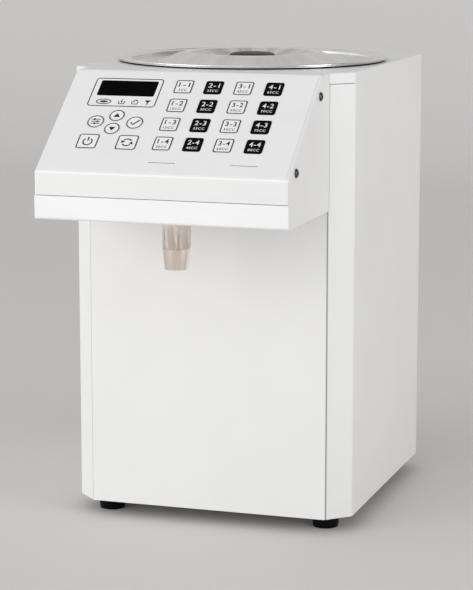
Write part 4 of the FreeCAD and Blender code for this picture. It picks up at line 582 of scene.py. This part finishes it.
def figures(bm, text, wide, tall, centre, weight):
    """Printed figures from the built-in face, drawn out to a width and height about a point."""
    curve = bpy.data.curves.new("figures", "FONT")
    curve.body, curve.size, curve.offset = text, 1.0, weight
    curve.resolution_u, curve.space_character = 3, 1.14
    carrier = bpy.data.objects.new("figures", curve)
    bpy.context.scene.collection.objects.link(carrier)
    mesh = plain_mesh(carrier)
    xs, ys = [v.co.x for v in mesh.vertices], [v.co.y for v in mesh.vertices]
    middle = Vector(((min(xs) + max(xs)) / 2, (min(ys) + max(ys)) / 2, 0.0))
    stretch = Matrix.Diagonal((wide / (max(xs) - min(xs)), tall / (max(ys) - min(ys)), 1.0, 1.0))
    mesh.transform(Matrix.Translation((*centre, 0.0)) @ stretch @ Matrix.Translation(-middle))
    flat = bmesh.new()
    flat.from_mesh(mesh)
    bmesh.ops.remove_doubles(flat, verts=flat.verts, dist=1e-6)
    raised = bmesh.ops.extrude_face_region(flat, geom=flat.faces[:])["geom"]
    corners = [part for part in raised if isinstance(part, bmesh.types.BMVert)]
    bmesh.ops.translate(flat, verts=corners, vec=(0, 0, INK))
    flat.to_mesh(mesh)
    flat.free()
    bm.from_mesh(mesh)
    bpy.data.meshes.remove(mesh)


# The keypad in the slope's frame: columns across, ranks up, and the tops of the keys and the film.
DOSE_COLUMNS = [-0.0074 + 0.0284 * i for i in range(4)]
DOSE_RANKS = [0.113 - 0.0245 * i for i in range(4)]
SET_COLUMN, ARROW_COLUMN, SAVE_COLUMN = -0.0785, -0.0604, -0.0410
UP_RANK, ROUND_RANK, DOWN_RANK, SQUARE_RANK = 0.0731, 0.0647, 0.0563, 0.0393
KEY_TOP = 0.0009
OVERLAY_TOP = 0.0006


def on_slope(across, up, lift):
    """The slope's frame, moved to a place on it."""
    return SLOPE @ Matrix.Translation((across, up, lift))


def key_legend(key, bm, across, up, ink=DARK_INK):
    """A key's print, which moves with the key."""
    name = "legend_" + key.removeprefix("dose_key_")
    keep(name, bm, ink, key, on_slope(across, up, KEY_TOP))


def dose_legends():
    """Each dose key: column and rank, and its volume in steps of five below."""
    for column, across in enumerate(DOSE_COLUMNS):
        for rank, up in enumerate(DOSE_RANKS):
            bm = bmesh.new()
            volume = f"{5 * (4 * column + rank + 1)}CC"
            figures(bm, f"{column + 1}-{rank + 1}", 0.0106, 0.0058, (0.0, 0.0027), 0.015)
            figures(bm, volume, 0.0026 * len(volume), 0.0030, (0.0, -0.0042), 0.012)
            key = f"dose_key_{column + 1}_{rank + 1}"
            if column % 2:
                key_legend(key, bm, across, up, LIGHT_INK)
            else:
                ink_band(bm, round_corners(0.0083, 0.0085, 0.0022),
                         round_corners(0.0073, 0.0075, 0.0013))
                key_legend(key, bm, across, up)


def round_key_legends():
    """Arrows on the up and down keys, sliders on the set key and a tick on the save key."""
    for name, up, sign in (("key_up", UP_RANK, 1), ("key_down", DOWN_RANK, -1)):
        bm = bmesh.new()
        ink_band(bm, ring_outline(0.0071), ring_outline(0.0061))
        arrow = [(-0.0032, -0.0020 * sign), (0.0032, -0.0020 * sign), (0.0, 0.0030 * sign)]
        ink_shape(bm, arrow[::sign])
        key_legend(name, bm, ARROW_COLUMN, up)
    ring = ring_outline(0.0077), ring_outline(0.0067)
    bm = bmesh.new()
    ink_band(bm, *ring)
    for i, notch in enumerate((-0.0016, 0.0018, -0.0004)):
        height = 0.0026 * (1 - i)
        ink_stroke(bm, [(-0.0042, height), (0.0042, height)], 0.0009)
        ink_shape(bm, ring_outline(0.0012, 16), (notch, height))
    key_legend("key_set", bm, SET_COLUMN, ROUND_RANK)
    bm = bmesh.new()
    ink_band(bm, *ring)
    ink_stroke(bm, [(-0.0038, 0.0002), (-0.0012, -0.0028), (0.0042, 0.0034)], 0.0015)
    key_legend("key_save", bm, SAVE_COLUMN, ROUND_RANK)


def square_key_legends():
    """The power sign, and two chasing arrows for pouring on and on."""
    frame_band = round_corners(0.0095, 0.0090, 0.0024), round_corners(0.0085, 0.0080, 0.0015)
    radius, weight = 0.0042, 0.0013
    bm = bmesh.new()
    ink_band(bm, *frame_band)
    ink_stroke(bm, arc(radius, 125, 415), weight, (0.0, -0.0006))
    ink_stroke(bm, [(0.0, 0.0002), (0.0, 0.0052)], weight)
    key_legend("key_power", bm, SET_COLUMN, SQUARE_RANK)
    bm = bmesh.new()
    ink_band(bm, *frame_band)
    for start in (30, 210):
        ink_stroke(bm, arc(radius, start, start + 118), weight)
        tip = math.radians(start + 126)
        heading = Vector((-math.sin(tip), math.cos(tip)))
        side = Vector((math.cos(tip), math.sin(tip)))
        middle = side * radius
        ink_shape(bm, [middle + side * 0.0022, middle + heading * 0.0032, middle - side * 0.0022])
    key_legend("key_continuous", bm, SAVE_COLUMN, SQUARE_RANK)


def panel_print():
    """The window's frame line, its pictograms, the rules under the keys and the window's border."""
    left, right, low, high, corner, line = -0.0939, -0.0282, 0.085, 0.1223, 0.0034, 0.001
    half_x, half_y = (right - left) / 2, (high - low) / 2
    pictogram_rank, rule_rank, window = 0.0912, 0.0155, (-0.0605, 0.1091)
    bm = bmesh.new()
    ink_band(bm, round_corners(half_x, half_y, corner),
             round_corners(half_x - line, half_y - line, corner - line),
             ((left + right) / 2, (low + high) / 2))
    oval, arrow_bowl, arc_bowl, funnel = (
        (across, pictogram_rank) for across in (-0.0788, -0.0614, -0.0485, -0.0365))
    ink_band(bm, oval_outline(0.0075, 0.0035), oval_outline(0.0065, 0.0025), oval)
    ink_shape(bm, oval_outline(0.0038, 0.0013, 24), oval)
    bowl = [(-0.0030, 0.0010), (-0.0024, -0.0024), (0.0024, -0.0024), (0.0030, 0.0010)]
    for place in (arrow_bowl, arc_bowl):
        ink_stroke(bm, bowl, 0.0010, place)
    ink_stroke(bm, [(0.0, 0.0032), (0.0, 0.0002)], 0.0009, arrow_bowl)
    ink_shape(bm, [(-0.0013, 0.0006), (0.0, -0.0012), (0.0013, 0.0006)], arrow_bowl)
    ink_stroke(bm, arc(0.0015, 20, 250, steps=12), 0.0009, (arc_bowl[0], arc_bowl[1] + 0.0014))
    ink_shape(bm, [(0.0004, 0.0016), (0.0026, 0.0016), (0.0015, 0.0036)], arc_bowl)
    ink_shape(bm, [(-0.0030, 0.0028), (0.0, -0.0008), (0.0030, 0.0028)], funnel)
    ink_stroke(bm, [(0.0, 0.0), (0.0, -0.0030)], 0.0010, funnel)
    for start, end in ((-0.0140, 0.0108), (0.0614, 0.0871)):
        ink_stroke(bm, [(start, rule_rank), (end, rule_rank)], 0.0005)
    keep("keypad_print", bm, DARK_INK, "casing", on_slope(0.0, 0.0, OVERLAY_TOP))
    bm = bmesh.new()
    ink_band(bm, round_corners(0.02775, 0.0101, 0.0017), round_corners(0.0262, 0.0086, 0.0006),
             window)
    keep("window_border", bm, MATERIALS["dark_window"], "casing",
         on_slope(0.0, 0.0, OVERLAY_TOP))


def rocker_marks():
    """Printed line and ring on the two halves of the mains rocker, each flat on its face."""
    line, ring = bmesh.new(), bmesh.new()
    ink_stroke(line, [(0.0, -0.0022), (0.0, 0.0022)], 0.0008)
    ink_band(ring, ring_outline(0.0024), ring_outline(0.0017))
    for name, bm, middle, out in (
            ("rocker_line", line, (0.070, 0.20579, 0.11024), (0.0, 0.9613, -0.2756)),
            ("rocker_ring", ring, (0.070, 0.20445, 0.10074), REARWARDS)):
        outward, left = Vector(out), Vector(LEFTWARDS)
        turn = Matrix((left, outward.cross(left), outward)).transposed().to_4x4()
        keep(name, bm, LIGHT_INK, "rocker", Matrix.Translation(middle) @ turn)


# ---------------------------------------------------------------- turned and repeated pieces

def spun_lid():
    """The lid's sheet: beaded rim, plug, ring recess, raised cone, level ring and dished middle."""
    tree = Tree("spun_lid", Rim_radius=0.132, Bead_width=0.0022, Bead_height=0.0017, Sheet=0.001,
                Plug_radius=0.1195, Recess=0.004, Cone_foot=0.092, Ring_radius=0.068,
                Ring_width=0.006, Ring_height=0.006, Dish_radius=0.030, Dish_depth=0.002,
                Edge_radius=0.0016, Steps=192)
    rim, bead, sheet = tree.size("Rim radius"), tree.size("Bead width"), tree.size("Sheet")
    bead_top, floor = tree.size("Bead height"), -tree.size("Dish depth")
    plug, foot, dish = tree.size("Plug radius"), tree.size("Cone foot"), tree.size("Dish radius")
    low, high, ring = -tree.size("Recess"), tree.size("Ring height"), tree.size("Ring radius")
    inner, bead_slope = ring - tree.size("Ring width"), 0.0006
    top = [(rim, 0.0), (rim, bead_top), (rim - bead, bead_top), (rim - bead - bead_slope, sheet),
           (plug - sheet, sheet), (plug - sheet, low + sheet), (foot, low + sheet), (ring, high),
           (inner, high), (dish, floor), (0.0, floor)]
    under = [(0.0, floor - sheet), (dish, floor - sheet), (inner, high - sheet),
             (ring, high - sheet), (foot, low), (plug, low), (plug, 0.0)]
    shell = tree.turned(under + top, tree.size("Edge radius"), tree.size("Steps"))
    places = [((0.0, TANK_Y, FLANGE_TOP), UPWARDS)]
    piece = keep("spun_lid", tree.grown(shell, LID_STEEL, places), LID_STEEL, "lid",
                 smooth=50)
    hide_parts("lid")


def turned_knob():
    """The waisted knob in the lid's dish, with a shallow well in its top."""
    tree = Tree("turned_knob", Waist=0.018, Radius=0.022, Height=0.007, Edge_radius=0.0011,
                Steps=96)
    waist, radius, height = tree.size("Waist"), tree.size("Radius"), tree.size("Height")
    form = tree.turned([(0.0, 0.0), (waist, 0.0), (radius, height * 0.55), (radius, height * 0.8),
                        (waist, height), (waist * 0.7, height), (waist * 0.62, height * 0.93),
                        (0.0, height * 0.93)], tree.size("Edge radius"), tree.size("Steps"))
    finish, dish_floor = MATERIALS["black_plastic"], FLANGE_TOP - 0.002
    places = [((0.0, TANK_Y, dish_floor), UPWARDS)]
    piece = keep("turned_knob", tree.grown(form, finish, places), finish, "lid",
                 smooth=50)
    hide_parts("lid_knob")


def nozzle_sleeve():
    """The nozzle's screwed sleeve: straight above a cone, six spanner flats cut into the straight
    part. The ring that cuts them starts 6 mm down the cone and ends above the sleeve."""
    tree = Tree("nozzle_sleeve", Radius=0.0136, Flat=0.0123, Top=0.306, Shoulder=0.2806,
                Cone_top=CONE_TOP, Cone_radius=0.0125, Mouth=0.260, Mouth_radius=0.0106,
                Mouth_bore=0.0046, Ledge=VALVE_LEDGE, Bore=0.0075, Seat=0.292, Thread=0.00905,
                Edge_radius=0.0004, Steps=96)
    radius, flat, thread = tree.size("Radius"), tree.size("Flat"), tree.size("Thread")
    top, cone, mouth = tree.size("Top"), tree.size("Cone top"), tree.size("Mouth")
    seat, ledge = tree.size("Seat"), tree.size("Ledge")
    bore, mouth_bore = tree.size("Bore"), tree.size("Mouth bore")
    form = tree.turned([(thread, top), (radius, top), (radius, tree.size("Shoulder")),
                        (tree.size("Cone radius"), cone), (tree.size("Mouth radius"), mouth),
                        (mouth_bore, mouth), (mouth_bore, ledge), (bore, ledge), (bore, seat),
                        (thread, seat)], tree.size("Edge radius"), tree.size("Steps"), closed=True)
    corner, turn = flat / math.cos(math.radians(30)), math.radians(57.5)
    waste = tree.cut("DIFFERENCE", tree.prism(64, radius * 1.2, cone - 0.006, top + 0.001),
                     tree.prism(6, corner, cone - 0.007, top + 0.002, turn))
    places = [((0.0, NOZZLE_Y, 0.0), UPWARDS)]
    form = tree.cut("DIFFERENCE", form, waste)
    piece = keep("nozzle_sleeve", tree.grown(form, NOZZLE_STEEL, places), NOZZLE_STEEL, "casing",
                 smooth=20)
    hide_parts("nozzle_tip")


def wound_spring():
    """The poppet's coil spring on its ledge."""
    wire_radius, ledge, finish = 0.00045, VALVE_LEDGE, MATERIALS["stainless"]
    tree = Tree("wound_spring", Wire_radius=wire_radius, Coil_radius=0.0056, Height=0.0207,
                Turns=4.0, Steps=20)
    wire, coil, high = tree.size("Wire radius"), tree.size("Coil radius"), tree.size("Height")
    line = tree.node("GeometryNodeCurveSpiral", {}, {
        "Resolution": tree.size("Steps"), "Rotations": tree.size("Turns"), "Start Radius": coil,
        "End Radius": coil, "Height": high - wire * 2}).outputs[0]
    ring = tree.node("GeometryNodeCurvePrimitiveCircle", {}, {"Resolution": 12, "Radius": wire})
    skin = tree.node("GeometryNodeCurveToMesh", {}, {
        "Curve": line, "Profile Curve": ring.outputs[0], "Fill Caps": True}).outputs[0]
    places = [((0.0, NOZZLE_Y, ledge + wire_radius), UPWARDS)]
    piece = keep("wound_spring", tree.grown(skin, finish, places), finish, "casing",
                 smooth=40)
    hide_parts("valve_spring")
    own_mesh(piece)


def moulded_feet():
    """Four tapered rubber feet with a screw well from below."""
    tree = Tree("moulded_foot", Height=0.014, Top_radius=0.0135, Tread_radius=0.012,
                Well_radius=0.0046, Bore=0.00205, Edge_radius=0.0009, Steps=64)
    high, top, tread = tree.size("Height"), tree.size("Top radius"), tree.size("Tread radius")
    well, bore = tree.size("Well radius"), tree.size("Bore")
    form = tree.turned([(well, 0.0), (tread, 0.0), (top, high), (bore, high), (bore, high * 0.5),
                        (well, high * 0.5)], tree.size("Edge radius"), tree.size("Steps"),
                       closed=True)
    places = [((x, y, 0.0), UPWARDS) for x, y in FEET]
    piece = keep("moulded_feet", tree.grown(form, FOOT_RUBBER, places), FOOT_RUBBER, "casing",
                 smooth=40)
    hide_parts("rubber_feet")


def cheek_screws():
    """Domed cross-recessed screws, two on each cheek of the hood."""
    tree = Tree("domed_screw", Head_radius=0.0042, Head_height=0.0022, Cross_length=0.0048,
                Cross_width=0.0009, Cross_depth=0.0013, Shank_radius=0.002, Grip=0.006,
                Edge_radius=0.0011, Steps=32)
    head, high = tree.size("Head radius"), tree.size("Head height")
    shank, grip = tree.size("Shank radius"), tree.size("Grip")
    dome = tree.turned([(0.0, -grip), (shank, -grip), (shank, 0.0), (head, 0.0), (head, high * 0.3),
                        (head * 0.8, high * 0.78), (head * 0.5, high), (0.0, high)],
                       tree.size("Edge radius"), tree.size("Steps"))
    low, above = high - tree.size("Cross depth"), high + 0.001
    for length, width in (("Cross length", "Cross width"), ("Cross width", "Cross length")):
        slot = tree.bar(tree.size(length), tree.size(width), low, above)
        dome = tree.cut("DIFFERENCE", dome, slot)
    cheek, below_slope = 0.118, -0.0105
    places = [(tuple(SLOPE @ Vector((cheek * side, along, below_slope))), (side, 0, 0))
              for side in (-1, 1) for along in (0.020, 0.117)]
    piece = keep("cheek_screws", tree.grown(dome, DARK_NICKEL, places), DARK_NICKEL, "casing",
                 smooth=40)
    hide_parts("hood_screws")


def hexagon_screws():
    """Hexagon screws with chamfered heads: rear panel, mains inlet, feet, pump bracket and pump
    cover."""
    tree = Tree("hexagon_screw", Head_radius=0.0042, Head_height=0.0022, Chamfer=0.0007,
                Shank_radius=0.002, Grip=0.006, Steps=24)
    head, high, cone = tree.size("Head radius"), tree.size("Head height"), tree.size("Chamfer")
    blank = tree.turned([(0.0, -0.001), (head * 1.1, -0.001), (head * 1.1, high - cone * 1.4),
                         (head - cone * 0.7, high), (0.0, high)], 0.0, tree.size("Steps"))
    capped = tree.cut("INTERSECT", tree.prism(6, head, 0.0, high), blank)
    shank = tree.prism(12, tree.size("Shank radius"), -tree.size("Grip"), 0.0)
    inlet_face, plate_under, bracket_top, cover_face = REAR + 0.0024, 0.007, 0.0182, -0.0441215
    places = [((x, REAR, z), REARWARDS) for x in (-0.130, 0.130) for z in (0.064, 0.392)]
    places += [((x, inlet_face, 0.066), REARWARDS) for x in (0.0505, 0.0895)]
    places += [((x, y, plate_under), DOWNWARDS) for x, y in FEET]
    places += [((x, y, bracket_top), UPWARDS) for x in (-0.0706, -0.0094)
               for y in (-0.0003215, 0.0192785)]
    places += [((x, cover_face, z), FRONTWARDS) for x in (-0.060825, -0.019175)
               for z in (0.067175, 0.138825)]
    finish = MATERIALS["screw_steel"]
    piece = keep("hexagon_screws", tree.grown(tree.joined(capped, shank), finish, places), finish,
                 "casing", smooth=30)
    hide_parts("machine_screws")


def coupler_pins():
    """Plated faces of the mains inlet's three pins."""
    tree = Tree("coupler_pin", Width=0.00206, Height=0.00406, Length=0.01246)
    pin = tree.bar(tree.size("Width"), tree.size("Height"), 0.0, tree.size("Length"))
    pin_foot, finish = 0.1849, MATERIALS["screw_steel"]
    places = [((x, pin_foot, z), REARWARDS)
              for x, z in ((0.063, 0.064), (0.077, 0.064), (0.070, 0.068))]
    keep("coupler_pins", tree.grown(pin, finish, places), finish, "casing")


for make in (dose_legends, round_key_legends, square_key_legends, panel_print, rocker_marks,
             spun_lid, turned_knob, nozzle_sleeve, wound_spring, moulded_feet, cheek_screws,
             hexagon_screws, coupler_pins):
    make()


# ---------------------------------------------------------------- stage, light and camera

def stage():
    """A pale floor that sweeps up into a backdrop."""
    half_width, near, bend_start, bend, top = 4.0, -3.0, 2.4, 1.0, 4.5
    curve = [(bend_start + bend * math.sin(turn), bend - bend * math.cos(turn))
             for turn in (math.radians(6 * i) for i in range(1, 16))]
    profile = [(near, 0.0), (bend_start, 0.0)] + curve + [(bend_start + bend, top)]
    bm = bmesh.new()
    rows = [[bm.verts.new((x, y, z)) for x in (-half_width, half_width)] for y, z in profile]
    for first, second in zip(rows, rows[1:]):
        bm.faces.new((first[0], first[1], second[1], second[0]))
    mesh = bpy.data.meshes.new("sweep")
    bm.to_mesh(mesh)
    bm.free()
    mesh.shade_smooth()
    paint = Paint("studio_paper")
    paint.feed(Base_Color=(0.70, 0.685, 0.67, 1.0), Roughness=0.7)
    mesh.materials.append(paint.material)
    sweep = bpy.data.objects.new("sweep", mesh)
    bpy.context.scene.collection.objects.link(sweep)


def aimed(name, data, place, heading, axis):
    """A lamp's or camera's object at a place, one of its axes along a heading."""
    holder = bpy.data.objects.new(name, data)
    turn = heading.to_track_quat(axis, "Y").to_matrix().to_4x4()
    holder.matrix_world = Matrix.Translation(place) @ turn
    bpy.context.scene.collection.objects.link(holder)
    return holder


def lamp(name, place, size, power):
    """A soft box aimed at the middle of the machine."""
    middle = Vector((0, 0, 0.22))
    light = bpy.data.lights.new(name, "AREA")
    light.shape, light.size, light.size_y, light.energy = "RECTANGLE", size[0], size[1], power
    aimed(name, light, place, middle - Vector(place), "-Z")


def camera():
    """The view from the front right, a little above the machine."""
    turn, pitch, distance = math.radians(18.006), math.radians(10.058), 2.069
    target = Vector((0.0290, FRONT, 0.2233))
    back = Vector((math.sin(turn) * math.cos(pitch), -math.cos(turn) * math.cos(pitch),
                   math.sin(pitch)))
    lens = bpy.data.cameras.new("camera")
    lens.lens, lens.sensor_width, lens.sensor_height = 135.3, 36.0, 36.0
    lens.sensor_fit = "VERTICAL"
    bpy.context.scene.camera = aimed("camera", lens, target + back * distance, back, "Z")


class Surround(Web):
    """Soft studio surround, brightest low at the front left and dimmest high at the rear right."""

    def __init__(self, bright, dim):
        world = bpy.data.worlds.new("studio")
        world.use_nodes = True
        self.tree = world.node_tree
        bpy.context.scene.world = world
        brightest = (-0.56, -0.78, -0.28)
        away = self.node("ShaderNodeTexCoord").outputs["Generated"]
        side = self.node("ShaderNodeVectorMath", {"operation": "DOT_PRODUCT"}, [away, brightest])
        level = Sock(self, side.outputs["Value"]).between(-0.7, 0.8) * (bright - dim) + dim
        background = self.tree.nodes["Background"].inputs
        self.tree.links.new(level.link, background["Strength"])
        background["Color"].default_value = (1.0, 1.0, 1.0, 1.0)


stage()
Surround(1.05, 0.30)
lamp("key_light", (-1.7, -1.75, 0.75), (2.0, 1.45), 18.0)
lamp("fill_light", (2.24, -0.62, 0.72), (1.0, 1.3), 16.8)
camera()
bpy.context.scene.view_settings.view_transform = "Standard"
